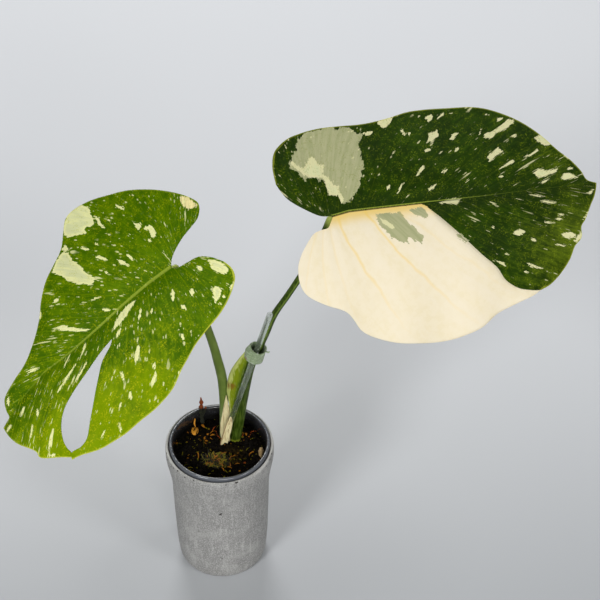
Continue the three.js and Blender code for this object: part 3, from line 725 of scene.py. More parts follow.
# The outlines, patches and streaks of the two blades are in millimetres on their plans.
LEFT_BLADE = Blade(
    junction=(-32, 12, 304), tipwards=(-0.72, -0.33, -0.645), facing=(-0.3, -0.66, 0.69),
    length=183, half_width=75, droop=0.07, heel_lift=0.1, bend=(0.12, 0.16), groove=(3, 6), wave=(1.2, 46),
    quilt=0.3, vein_starts=(-40, -22, -8, 6, 22, 40, 60, 80, 102, 125), cream_border=[],
    # painted light: lighter where light falls on the blade
    sun=[(0.28, (0.3, 0.8), None), (0.5, (0, 0.35), (10, 42))],
    midrib=[(0, 0), (20, -3), (47, -5), (72, -6), (101, -8), (129, -12), (160, -10), (184, -5)],
    lobes=[
        {"rows": (0, Blade.ROWS),
         "first": {"edge": [(0, 0), (-8, -5), (-22, -9), (-39, -11), (-46, -15)]},
         "margin": [
             (-46, -15), (-48, -21), (-42, -34), (-29, -51), (-13, -66), (3, -76), (17, -84), (30, -88),
             (40, -87), (48, -80), (57, -72), (69, -67), (81, -62), (94, -53), (105, -43), (119, -34),
             (135, -27), (151, -24), (166, -20), (172, -13), (175, -7), (184, -5)]},
        {"rows": (0, Blade.SPLIT),
         "first": {"edge": [(0, 0), (-3, 4), (-13, 7), (-22, 10), (-29, 17), (-34, 26)]},
         "margin": [
             (-34, 26), (-35, 34), (-31, 41), (-19, 47), (-5, 51), (11, 53), (26, 55), (44, 60), (60, 66),
             (79, 67), (95, 66), (110, 65), (124, 62), (136, 59), (149, 53), (157, 50.5)],
         "last": {
             "edge": [(69, 8), (74, 11), (87, 15), (100, 23), (114, 32), (127, 40), (137, 47), (146, 48.4),
                      (153, 46.5), (157, 50.5)],
             "shared": 2, "lift": (1.8, 0.72, 0.93)}},
        {"rows": (Blade.SPLIT, Blade.ROWS),
         "first": {
             "edge": [(69, 8), (83, 9), (100, 12), (119, 15), (134, 19), (145, 26), (152, 35), (154, 42),
                      (153.5, 47), (155.5, 49.5)],
             "shared": 2},
         "margin": [
             (155.5, 49.5), (164, 42), (173, 35), (176, 31), (175, 27), (177, 22), (182, 13), (184, 5),
             (184, -5)]},
    ],
    pale=[
        [(24.5, -87), (21, -80), (22.5, -75.5), (22.5, -68), (26.5, -67), (32.5, -70), (34, -65.5),
         (41, -70), (47.5, -74.5), (48.5, -80), (42, -85.5), (38, -89), (31.5, -89.5)],
        [(21.5, -73.5), (19, -68), (20, -62), (19.5, -54.5), (22, -60.5), (22, -66.5)],
        [(58, -71), (52, -72), (52, -66), (55, -68)],
        [(57.5, -69), (54, -65), (54.5, -58), (52.5, -50.5), (52.5, -44.5), (50.5, -38.5), (49, -33),
         (55, -33), (61.5, -40), (67.5, -47.5), (69, -54.5), (74.5, -63.5), (65.5, -68)],
        [(-25.5, 16.5), (-29.5, 20), (-32.5, 26), (-33, 32.5), (-29.5, 34), (-25, 29), (-23, 24),
         (-24.5, 20)],
        [(-11.5, 32.5), (-17, 35), (-20, 38.5), (-17, 41), (-12, 43), (-8, 43), (-9.5, 39.5), (-12.5, 36)],
        [(-32, 40.5), (-26, 42), (-22.5, 42.5), (-22, 45), (-26, 46)],
        [(-0.5, -44.5), (-5, -40), (-3, -37), (0, -37.5), (0.5, -40.5)],
        [(-6.5, -36), (-10, -31.5), (-9, -25.5), (-5.5, -24), (-4, -26), (-6, -31), (-4, -34.5)],
        [(13, 25.5), (9, 29), (11.5, 32), (13, 29.5)],
        [(102, -30.5), (92, -26.5), (85.5, -17), (78, -9.5), (82, -10.5), (94.5, -23)],
        [(32.5, -0.5), (44.5, 2), (51, 4), (59.5, 4.5), (65, 4.5), (57.5, 0), (51, -2), (44, -2)],
    ],
    sage=[
        [(-40, -34.5), (-44.5, -30.5), (-46.5, -18.5), (-45.5, -17.5), (-42.5, -19.5), (-38.5, -20.5),
         (-38, -24.5), (-39, -29)],
    ],
    streaks=[
        (-16, 15, -18, 19, 3.4), (-2, 24, 1, 27, 3.6), (9, 14, 14, 20, 2.8), (26, 42, 29, 46, 2.5),
        (2, -65, -1, -58, 2.2), (14, -61, 12, -54, 1.4), (43, -60, 39, -54, 2.2), (33, -56, 31, -51, 1.7),
        (38, -46, 33, -38, 2.8), (27, -33, 23, -23, 3.1), (19, -30, 16, -21, 2), (62, -24, 55, -21, 1.7),
        (60, -13, 56, -9, 2.2), (86, -44, 82, -44, 2.5), (59, 7, 67, 10, 2.5), (88, -4, 96, 0, 1.7),
        (103, -7, 113, -3, 1.1), (104, 2, 130, 7, 2), (96, 7, 118, 12, 1.4), (57, 26, 67, 33, 3.6),
        (56, 43, 60, 46, 2.2), (62, 49, 71, 54, 3.1), (81, 30, 84, 36, 2.8), (86, 45, 90, 49, 3.6),
        (109, 55, 113, 62, 3.1), (122, 52, 131, 55, 1.4), (97, 46, 103, 50, 1.7), (46, 60, 50, 63, 2),
        (164, -18, 168, -14, 2.5), (159, -4, 166, -1, 2.5), (151, 5, 155, 9, 1.7), (139, -21, 129, -17, 2.2),
        (100, -47, 104, -43, 2.2), (163, 11, 171, 16, 2), (152, 24, 167, 33, 2.5), (171, 36, 164, 38, 2.5),
        (177, -2, 183, -1, 2), (30, 13, 34, 16, 1.7), (37, 8, 46, 14, 1), (-1, -26, -2, -24, 2.2),
        (-16, 43, -16, 45, 2.2), (40, -32, 39, -30, 2),
    ],
)

RIGHT_BLADE = Blade(
    junction=(87, 20, 348), tipwards=(0.96, 0.26, -0.09), facing=(0.22, -0.54, 0.81),
    length=208, half_width=85, droop=0.05, heel_lift=0.1, bend=(0.2, 0.26), groove=(3.5, 7), wave=(1.2, 52),
    quilt=0.3, vein_starts=(-13, 3, 23, 46, 70, 95, 122, 150),
    # painted light: lighter where light falls on the blade
    sun=[(0.2, (0.5, 0.85), None), (0.2, (0.5, 0.85), (-4, -30))],
    cream_border=[(0, 0), (12, 2), (58, 2), (66, 2), (71, -1), (74, -4)],
    midrib=[(0, 0), (12, 2), (58, 2), (113, 2), (161, 3), (209, 4)],
    lobes=[
        {"rows": (0, Blade.ROWS),
         "first": {"edge": [(0, 0), (-10, 1), (-23, 8), (-33, 16), (-39, 27)]},
         "margin": [
             (-39, 27), (-39, 40), (-35, 52), (-24, 61), (-12, 65), (1, 67), (16, 67), (32, 67), (45, 68),
             (58, 70), (72, 73), (89, 74), (107, 73), (123, 72), (136, 69), (150, 62), (162, 53), (172, 43),
             (181, 32), (190, 23), (197, 14), (201, 7), (209, 4)]},
        {"rows": (0, Blade.SPLIT),
         "first": {"edge": [(0, 0), (-3, -5), (-6, -9), (-11, -10), (-17, -12), (-22, -17), (-28, -25)]},
         "margin": [
             (-28, -25), (-32, -34), (-32, -46), (-27, -55), (-14, -63), (0, -69), (6, -75), (12, -83),
             (23, -89), (41, -95), (60, -97), (79, -97), (93, -95), (106, -91), (118, -83), (132, -78),
             (148, -73), (156, -68)],
         "last": {
             "edge": [(71, -1), (75, -4.4), (82, -10.6), (96, -23), (112, -38), (128, -53.4), (143, -64),
                      (156, -68)],
             "shared": 1, "lift": (-1.6, 0.09, 0.25)}},
        {"rows": (Blade.SPLIT, Blade.ROWS),
         "first": {
             "edge": [(71, -1), (79, -10), (93, -25), (107, -40), (119, -51), (125, -60), (135, -67),
                      (147, -70), (153, -70.3)],
             "shared": 1, "lift": (1.4, 0.09, 0.25)},
         "margin": [
             (153, -70.3), (161, -67), (170, -60), (178, -51), (183, -42), (189, -36), (190, -28),
             (194, -23), (200, -13), (204, -7), (207, -1), (209, 4)]},
    ],
    sage=[
        [(-13.5, 63), (-7.5, 65.5), (12, 67), (14, 64.5), (24, 66.5), (26.5, 63), (31, 59), (34, 63),
         (33.5, 59), (31, 53), (28, 52), (28.5, 43), (29, 34.5), (26.5, 28.5), (23, 20), (20, 15.5),
         (15.5, 10.5), (10.5, 8.5), (7.5, 6.5), (6, 12.5), (-1.5, 15), (-2, 22), (-2.5, 26), (-7, 25.5),
         (-9, 29), (-15, 29.5), (-17, 25.5), (-18, 29.5), (-23.5, 36.5), (-27, 40.5), (-25.5, 44.5),
         (-21.5, 48.5), (-17.5, 52.5), (-19.5, 54.5), (-16, 58)],
        [(31.5, -3.5), (35.5, -2.5), (50, -3.5), (52.5, -9.5), (58, -14.5), (62.5, -20), (65, -23.5),
         (63, -28.5), (58.5, -25.5), (52.5, -22.5), (52.5, -26.5), (46.5, -25), (41, -21.5), (36, -17),
         (32.5, -9)],
        [(55.5, -2.5), (64.5, -1.5), (69, -2.5), (70.5, -7.5), (67.5, -10), (60.5, -6)],
        [(89.5, -22.5), (95, -26), (100.5, -31.5), (96, -30.5), (91, -25.5)],
    ],
    pale=[
        [(-12.5, 41.5), (-10, 45.5), (-6.5, 44.5), (-5, 39.5), (-0.5, 38), (-2, 34), (-3, 28), (-9, 29),
         (-15, 30.5), (-19, 34), (-24, 40), (-25.5, 44.5), (-23, 44), (-20, 39.5), (-16, 37.5)],
        [(-3, 31), (1, 28), (3, 22), (8, 21), (6.5, 17), (9.5, 12), (7.5, 7.5), (5.5, 13.5), (-1.5, 15),
         (-2.5, 23)],
        [(32.5, -6), (38, -8.5), (42.5, -12.5), (45, -16), (40.5, -15), (36.5, -11)],
        [(47, 68), (60, 71), (58.5, 66.5), (53, 63), (49.5, 61.5), (47.5, 65)],
        [(34.5, 59.5), (41.5, 60.5), (40, 57), (34.5, 58)],
        [(85, 67.5), (91, 71), (91, 67.5), (87, 62.5), (85, 64)],
        [(81, 48), (84, 54.5), (91.5, 56.5), (90.5, 51.5), (84.5, 47)],
        [(99, 48), (101.5, 51.5), (108, 53), (101.5, 47)],
        [(125.5, 46), (127, 49.5), (132, 51), (139, 53.5), (143, 56), (148.5, 60), (154, 58), (152, 55.5),
         (146, 52.5), (142, 50.5), (135.5, 49), (132.5, 45.5)],
        [(164.5, 42.5), (172, 45.5), (179, 36.5), (173, 35), (167.5, 39)],
        [(124, 31.5), (135, 37.5), (138, 34), (125, 27.5)],
        [(132.5, 21), (143.5, 27.5), (145.5, 26.5), (142.5, 24)],
        [(152, 28), (160, 30.5), (165.5, 34.5), (166, 32), (159.5, 28.5)],
        [(158.5, 15.5), (163, 18.5), (169, 16.5), (178.5, 17), (177, 14.5), (168, 12), (161.5, 11)],
        [(180, 9.5), (182.5, 13), (188, 13), (194, 9), (183.5, 8)],
        [(160.5, 7.5), (172, 11), (166, 7)],
        [(80, 0.5), (86, 2.2), (93, 3), (99, 2.4), (94.5, -2.5), (89, -0.6)],
        [(182.5, -38.5), (189, -31.5), (191, -35), (185, -39)],
        [(190.5, -24), (198.5, -16), (195, -21.5)],
        [(198.5, -3.5), (205, -1), (202, -5)],
        [(118.5, -46.5), (124, -47.5), (125.5, -51), (121.5, -49)],
        [(142.5, -50), (149, -52.5), (156.5, -56), (149, -54.5), (144, -53)],
    ],
    streaks=[
        (45, 17, 43, 14, 2.2), (74, 29, 67, 22, 2.9), (64, 59, 65, 54, 2.7), (68, 57, 69, 54, 2),
        (55, 17, 50, 10, 1.2), (104, 41, 101, 38, 2.5), (77, 41, 82, 41, 2.7), (80, 14, 74, 10, 2.7),
        (91, 25, 87, 22, 2.2), (131, 65, 136, 64, 1.7), (139, 59, 144, 61, 2.7), (126, 54, 122, 48, 1.7),
        (93, 65, 100, 69, 2), (103, 68, 107, 69, 1.5), (135, -28, 143, -28, 3.9), (174, -33, 184, -34, 4.2),
        (148, -33, 152, -35, 2), (167, -39, 176, -41, 1.7), (153, 0, 164, -3, 1.6), (160, -6, 172, -9, 2.2),
        (172, -18, 177, -18, 1.3), (170, -21, 174, -21, 1.6), (160, -22, 169, -24, 1.2),
        (140, -56, 143, -57, 1.7), (147, 45, 152, 46, 1.5), (131, 15, 134, 15, 1.5), (186, 26, 190, 24, 2),
        (187, 16, 191, 16, 1.5), (120, -3, 126, -7, 1.5), (118, -21, 120, -23, 1.6),
        (126, -42, 129, -43, 1.6),
    ],
)


class LeafFinish(Finish):
    """A satin blade. Its patches follow the marks on its points, with noise in their edges and specks."""

    def __init__(self, side, chosen, speckled, veined, rib_end, margin_seen):
        gloss = getattr(chosen, side + "_gloss")
        super().__init__("Leaf_" + side, chosen.leaf_roughness, Specular_IOR_Level=gloss)
        parts = ("dark", "mid", "light", "pale", "cream", "fleck")
        self.dark, self.mid, self.light, self.pale, self.cream, self.fleck = (
            getattr(chosen, side + "_" + part) for part in parts)
        self.on_left = side == "left"
        self.sage = self.cream if self.on_left else chosen.right_sage
        self.chosen = chosen
        self.speckled = speckled
        self.veined = veined
        self.rib_end = rib_end
        self.margin_seen = margin_seen

        self.plan = self.map("plan")
        self.mottle = self.noise(self.plan, 170, detail=4, roughness=0.65)
        self.fine = self.noise(self.plan, 800, detail=3, roughness=0.65)
        self.strands = self.noise(self.drawn_out(0.3), 430, detail=4, roughness=0.65)
        self.streaky = self.noise(self.drawn_out(0.12), 520, detail=3)
        self.across = self.value("across")
        self.away = self.math("ABSOLUTE", self.across)
        self.broad = self.noise(self.plan, 30, detail=3)
        bent = self.value("vein") + (self.broad - 0.5) * 0.4
        self.vein = self.math("PINGPONG", bent, 0.5) * self.value("vein_gap")
        self.small_vein = self.math("PINGPONG", self.value("vein"), 0.125) * self.value("vein_gap")

        ragged = (self.strands - 0.5) * 3.4 + (self.fine - 0.5) * 1.6
        ragged = ragged + (self.noise(self.drawn_out(0.3), 1000) - 0.5) * 3.2
        torn = ragged + (self.mottle - 0.5) * 7.0
        self.in_pale, self.in_sage, self.in_cream = (
            self.step(self.value(patch) + roughened, -0.1, 0.3)
            for patch, roughened in (("pale", ragged), ("sage", torn), ("cream", ragged)))
        self.on_green = 1.0 - self.in_cream

    def drawn_out(self, share):
        """The places of a pattern that runs along the veins."""
        return self.scaled(self.map("veinwise"), (1.0, share, 1.0))

    def greens(self):
        """Mottled green, dark by the midrib, with painted shade beside the veins, light on the veins, and
        painted light where light falls on the blade.
        """
        tone = self.broad * 0.4 + self.strands * 0.4 + self.mottle * 0.2
        green = self.mix(self.step(tone, 0.4, 0.6), self.dark, self.mid)
        green = self.mix(self.step(self.away, 15, 1.5) * 0.6, green, self.dark)
        # painted light: the green is painted lighter where light falls on the blade
        lit = self.value("sun") + (tone - 0.5) * 1.8
        green = self.mix(self.step(lit, 0.3, 1.0), green, self.light)
        # painted shade in the sunk grooves along the veins, where the blade swells between them
        painted_vein_shade = self.step(self.vein, 5.0, 0.6) * self.step(self.away, 60, 20)
        green = self.mix(painted_vein_shade * 0.45, green, self.dark)
        on_vein = self.step(self.vein, 0.9, 0.1, most=self.veined) * self.step(self.away, 75, 15, least=0.4)
        return self.mix(on_vein, green, self.light)

    def creams(self):
        """Warm cream, whiter in painted highlight streaks along the veins, and yellow beside the midrib."""
        chosen = self.chosen
        warm = self.mix(self.step(self.mottle, 0.42, 0.62, most=0.3), self.cream, chosen.cream_shade)
        # painted highlight: whiter streaks along the veins of the cream lobe
        soft = self.noise(self.drawn_out(0.2), 95, detail=4, roughness=0.6)
        warm = self.mix(self.step(soft, 0.36, 0.64, most=0.6), warm, chosen.cream_painted_highlight)
        return self.mix(self.step(self.away, 13, 0.5, most=0.85), warm, chosen.rib_yellow)

    def patched(self, green):
        """The cream lobe, the sage and pale patches, and specks and flecks between them, on the green."""
        chosen = self.chosen
        tone = self.mix(self.in_cream, green, self.creams())
        grey = self.mix(self.step(self.streaky, 0.4, 0.62) * 0.4, self.sage, chosen.sage_shade)
        tone = self.mix(self.in_sage, tone, grey)
        inside = self.step(self.value("pale"), 0.8, 3.0) * self.step(self.streaky, 0.3, 0.6)
        stained = self.mix(inside * 0.75, self.pale, chosen.pale_shade)
        tone = self.mix(self.in_pale, tone, stained)
        large = self.dots(self.drawn_out(0.3), 330, 0.3, 0.26 * self.speckled, self.strands)
        small = self.dots(self.drawn_out(0.45), 720, 0.32, 0.42 * self.speckled, self.fine)
        clusters = self.step(self.noise(self.plan, 60), 0.4, 0.56) * self.on_green
        specks = self.math("MAXIMUM", large, small) * clusters
        tone = self.mix(specks * 0.75, tone, stained)
        flecks = self.step(self.fine, 0.5, 0.62) * self.step(self.mottle, 0.42, 0.62) * self.on_green
        # the flecks are painted stronger where the painted light is
        lit = self.step(self.value("sun"), 0.2, 1.0, least=0.45, most=0.95)
        return self.mix(flecks * lit, tone, self.fleck)

    def yellow_veined(self, tone):
        """Yellow veins on the cream lobe, and a dark band along the midrib on the green one."""
        chosen = self.chosen
        main_veins = self.math("ABSOLUTE", self.value("vein") - 1.5)
        yellow = self.step(self.vein, 1.8, 0.0) * self.step(self.away, 105, 20)
        yellow = yellow * self.step(main_veins, 1.2, 0.7, least=0.14, most=0.5)
        tone = self.mix(yellow * self.in_cream, tone, chosen.rib_yellow)
        band = self.step(self.across, 0.4, 1.2) * self.step(self.across, 5.5, 3.0)
        return self.mix(band * 0.5, tone, self.dark)

    def ribbed(self, tone):
        """The pale midrib, which narrows and fades towards the tip. On the right leaf it is dark, with a
        painted highlight line along it.
        """
        along = self.value("along")
        rib_tone = self.mix(self.fine, self.light, self.chosen.rib_green)
        if not self.on_left:
            # painted highlight: a thin pale line along the right leaf's dark midrib
            highlight_gap = self.math("ABSOLUTE", self.across - 0.5)
            rib_tone = self.mix(self.step(highlight_gap, 0.2, 0.55), rib_tone, self.dark)
        rib = self.step(self.away / (1.3 - along), 1.2, 0.6) * self.step(along, -0.012, 0.0)
        rib = rib * self.step(along, self.rib_end, 0.3, least=0.15)
        return self.mix(rib * 0.85, tone, rib_tone)

    def edged(self, tone):
        """A thin yellowish line along the margin, and paler undersides."""
        line = self.step(self.value("margin"), 1.1, 0.4, most=self.margin_seen)
        if self.on_left:
            line = line * self.step(self.across, 5, 35, least=0.25)
        tone = self.mix(line * self.on_green, tone, self.chosen.margin)
        return self.mix(self.value("under") * 0.3, tone, self.chosen.underside)

    def relief(self):
        """Fine strands, with sunk veins and a fine net that are all but smooth on the cream lobe."""
        crisp = 1.0 - self.in_cream * 0.93
        groove = self.step(self.vein, 1.0, 0.0) * crisp
        net = self.step(self.small_vein, 0.6, 0.0, most=0.3) * crisp
        return self.bump(self.strands * 0.3 - groove * 0.4 - net, 0.25)

    def mixed(self):
        tone = self.patched(self.greens())
        if not self.on_left:
            tone = self.yellow_veined(tone)
        return self.show(Base_Color=self.edged(self.ribbed(tone)), Normal=self.relief())


# What can be set


SHORTEST, LONGEST = 0.01, 400.0  # the limits of the lengths


def length(name, about, default):
    """A size in millimetres, kept by Blender in metres."""
    return FloatProperty(name=name, description=about, default=default * MM, min=SHORTEST * MM,
                         max=LONGEST * MM, unit="LENGTH", precision=4)


def colour(name, about, code):
    return FloatVectorProperty(name=name, description=about, default=tint(code), size=4, min=0, max=1,
                               subtype="COLOR")


def factor(name, about, default):
    return FloatProperty(name=name, description=about, default=default, min=0, max=1, subtype="FACTOR")


def strength(name, about, default, unit="NONE"):
    return FloatProperty(name=name, description=about, default=default, min=0, unit=unit)


class PotSettings(bpy.types.PropertyGroup):
    lip_radius: length("Lip radius", "Outside radius of the cover pot's lip", 42.5)
    height: length("Height", "Height of the cover pot", 124)
    nursery_rim: length("Nursery rim radius", "Outside radius of the inner pot's rolled rim", 39.4)
    stone: colour("Stone", "Main grey of the stoneware", "#9a9997")
    stone_dark: colour("Dark speckle", "Darker grains in the stoneware", "#757471")
    stone_light: colour("Light speckle", "Paler grains in the stoneware", "#c6c5c1")
    # partly real wear, partly painted highlight: stone_finish lays this white on thicker towards the pot's
    # left and right sides
    lip: colour("Lip", "Whitish worn top of the lip", "#dad9d4")
    # rusty dirt and painted shade in the gap round the inner pot's rim
    grime_and_gap_shade: colour("Grime", "Rusty dirt along the inside of the lip", "#4c3a2a")
    # painted shade inside the small pits
    pit_shade: colour("Pit", "Colour inside the small pits", "#241b16")
    plastic: colour("Plastic", "Colour of the inner pot", "#2b2b2d")
    plastic_worn: colour("Plastic, worn", "Paler worn parts of the inner pot", "#5a5b62")
    # painted sheen on the outer half of the inner pot's rim
    plastic_rim_sheen: colour("Plastic rim", "Greyer outer half of the inner pot's rim", "#70747c")
    # painted shade: the inner pot darkens down its wall towards the soil
    plastic_painted_shade: colour("Plastic, dirty", "Damp dirt on the inner pot's wall, above the soil", "#0f0e0b")


class LeafSettings(bpy.types.PropertyGroup):
    thickness: length("Blade thickness", "Thickness of a blade away from its margin", 0.65)
    rib_depth: length("Rib depth", "How far the midrib stands out below a blade", 1.8)
    leaf_roughness: factor("Roughness", "Roughness of the blades", 0.46)
    left_gloss: factor("Left gloss", "Strength of the left blade's reflections", 0.02)
    right_gloss: factor("Right gloss", "Strength of the right blade's reflections", 0.05)
    left_dark: colour("Left leaf, dark", "Green along the left leaf's midrib", "#3d6000")
    left_mid: colour("Left leaf, middle", "Main green of the left leaf", "#5c7c00")
    # this lime is also the painted light on the left blade's lower half, besides its veins and midrib
    left_light: colour("Left leaf, light", "Lime of the left leaf's lower half", "#799300")
    left_pale: colour("Left leaf, patches", "Pale patches and streaks of the left leaf", "#eaeaa8")
    left_cream: colour("Left leaf, cream tip", "Cream-yellow tip of one basal lobe", "#f6e6a6")
    left_fleck: colour("Left leaf, flecks", "Yellow-green flecks of the left leaf", "#b3b514")
    right_dark: colour("Right leaf, dark", "Darkest green of the right leaf", "#192d00")
    right_mid: colour("Right leaf, middle", "Main green of the right leaf", "#274000")
    # this green is also the painted light on the right blade, besides its veins and midrib
    right_light: colour("Right leaf, light", "Lighter green of the right leaf", "#5f7010")
    right_pale: colour("Right leaf, patches", "Cream patches of the right leaf", "#d6d2a1")
    right_sage: colour("Right leaf, sage", "Grey-green patches of the right leaf", "#acac83")
    right_cream: colour("Right leaf, cream lobe", "The cream lobe of the right leaf", "#ebdfc2")
    right_fleck: colour("Right leaf, flecks", "Yellow-green flecks of the right leaf", "#748216")
    # painted highlight streaks on the right leaf's cream lobe
    cream_painted_highlight: colour("Cream, light", "Whiter parts of the right leaf's cream lobe", "#ece1c9")
    cream_shade: colour("Cream shade", "Shaded cream of the right leaf's cream lobe", "#e2d3a8")
    pale_shade: colour("Patch shade", "Greyer inside of the pale patches", "#ced3a3")
    sage_shade: colour("Sage shade", "Darker stripes inside the sage patches", "#8b9362")
    rib_green: colour("Midrib", "Pale green of the midribs", "#a0ac48")
    rib_yellow: colour("Yellow ribs", "Ribs on the cream lobe", "#efcc66")
    margin: colour("Margin", "Thin yellowish line along the margins", "#bfc440")
    underside: colour("Underside", "Tint of the undersides", "#8fa070")


class StalkSettings(bpy.types.PropertyGroup):
    sides: IntProperty(name="Sides", description="Faces round a stalk", default=20, min=6, max=64)
    keel: factor("Ridge height", "Height of the right stalk's ridge, in stalk radii", 0.16)
    grey_green: colour("Left stalk", "Grey-green of the left stalk", "#607330")
    dark_green: colour("Right stalk", "Dark green of the right stalk", "#203400")
    ridge: colour("Ridge", "Pale line of the right stalk's ridge", "#6e8430")
    stalk_mottle: colour("Stalk mottle", "Lighter patches of both stalks", "#8a9a50")
    stalk_pallor: colour("Stalk bloom", "Grey-green bloom on the left stalk's foot", "#94a478")
    stalk_hem: colour("Stalk hem", "Yellow-green edge at the right stalk's foot", "#98a02c")
    stalk_top: colour("Stalk tops", "Light green where a stalk meets its blade", "#b2bf5c")
    sheath: colour("Green sheath", "Yellow-green sheath", "#76860c")
    sheath_pale: colour("Sheath edge", "Paler edge of the green sheath", "#b4bc6a")
    sheath_dark: colour("Sheath, dark side", "Greener side of the green sheath, by the stalk", "#3c560a")
    sheath_stain: colour("Sheath stain", "Brown stains of the green sheath", "#7a5016")
    dry: colour("Dry sheath", "Papery cream sheath", "#e2d7a6")
    dry_fibre: colour("Dry sheath fibres", "Darker fibres of the dry sheath", "#a58a58")
    dry_streak: colour("Dry sheath streaks", "Broad brown streaks of the dry sheath", "#9a7c4c")
    dry_dark: colour("Dry sheath nicks", "Brown nicks and edge of the dry sheath", "#7a4e28")
    root: colour("Root", "Cream-brown roots", "#c9b58a")
    root_dark: colour("Root, dark", "Darker grain of the roots", "#8a7048")


class GroundSettings(bpy.types.PropertyGroup):
    seed: IntProperty(name="Seed", description="Seed for the strewn crumbs and threads", default=4, min=0)
    crumbs: FloatProperty(name="Crumbs", description="Crumbs on each square metre of soil", default=480000,
                          min=0, max=2000000)
    fibres: FloatProperty(name="Fibres", description="Loose fibres on each square metre of soil",
                          default=90000, min=0, max=1000000)
    threads: FloatProperty(name="Moss threads", description="Threads on each square metre of moss",
                           default=1500000, min=0, max=3000000)
    smallest: length("Smallest crumb", "Across the smallest crumb", 0.5)
    largest: length("Largest crumb", "Across the largest crumb", 3.4)
    # dark soil, painted near-black as shade
    soil_dark_and_shade: colour("Soil", "Main colour of the soil", "#050301")
    soil_light: colour("Crumb", "Paler crumbs", "#171006")
    soil_brown: colour("Brown patch", "Brown-green patch in front of the stalks", "#3c2e10")
    soil_green: colour("Green bits", "Mossy bits in the soil", "#7d7416")
    soil_orange: colour("Orange bits", "Dry orange bits in the soil", "#a8681c")
    red_fibre: colour("Red fibres", "Reddish fibres beside the stalks", "#9c4a1c")
    wood: colour("Dead wood", "Dead sprig", "#1b1d0c")
    wood_grain: colour("Dead wood grain", "Olive grain of the dead sprig", "#2a2a12")
    wood_top: colour("Dead wood top", "Orange-brown top of the sprig", "#96461a")
    flake: colour("Dry flake", "Dry leaf flake", "#eda42c")
    flake_grain: colour("Dry flake grain", "Browner grain of the dry leaf flake", "#cf8420")
    bark: colour("Bark", "Bark chip", "#c4a878")
    bark_grain: colour("Bark grain", "Darker grain of the bark chip", "#80633c")
    moss: colour("Moss", "Olive-brown moss", "#1c1906")


class SupportSettings(bpy.types.PropertyGroup):
    rod_radius: length("Rod radius", "Radius of the clear rod", 2.3)
    rod: colour("Rod", "Tint of the clear rod", "#dcead6")
    rod_end: colour("Rod end", "Sawn top of the clear rod", "#cdd6d0")
    clearness: factor("Clearness", "Share of the light that the rod lets through", 0.94)
    body: factor("Body", "Share of the rod's own look over what stands behind it", 0.55)
    tape_width: length("Tape width", "Width of the tie", 12)
    tape: colour("Tape", "Grey-green of the tie", "#93a67f")
    tape_dark: colour("Tape, dark", "Darker fibres of the tie", "#65784f")
    tape_light: colour("Tape, light", "Lighter rows of the tie", "#bccbb0")
    tape_stain: colour("Tape stain", "Rusty stain on the tie", "#7c3c22")


class StageSettings(bpy.types.PropertyGroup):
    lens: FloatProperty(name="Lens", description="Focal length of the camera", default=144 * MM, min=0.02,
                        unit="LENGTH", precision=4)
    floor: colour("Floor", "Floor and backdrop", "#cdcfd2")
    # painted shade: the floor is painted darker towards the front
    floor_painted_shade: colour("Floor, near", "Duller floor towards the front", "#a8abae")
    key_left: strength("Left key light", "Strength of the wide light from the front left", 1.42)
    key_right: strength("Right key light", "Strength of the wide light from the front right", 0.58)
    softness: FloatProperty(name="Softness", description="Angle over which each key light spreads",
                            default=math.radians(16), min=0, max=math.pi, subtype="ANGLE")
    front: strength("Front light", "Low soft light from the front", 13, unit="POWER")
    back: strength("Back light", "Soft light on the backdrop", 21, unit="POWER")
    top: strength("Top light", "Soft light from above, to the right", 3.5, unit="POWER")
    sky: strength("Surroundings", "Strength of the pale surroundings", 0.13)


GROUPS = {
    "monstera_pot": PotSettings, "monstera_leaf": LeafSettings, "monstera_stalk": StalkSettings,
    "monstera_ground": GroundSettings, "monstera_support": SupportSettings, "monstera_stage": StageSettings,
}


# Steps of the build


class MonsteraStep:
    """What every step shares."""

    bl_options = {"REGISTER", "UNDO"}


CAMERA_PLACE = (0.0630, -1.2527, 1.5277)  # in metres
CAMERA_TILT = 45.16  # in degrees from straight down


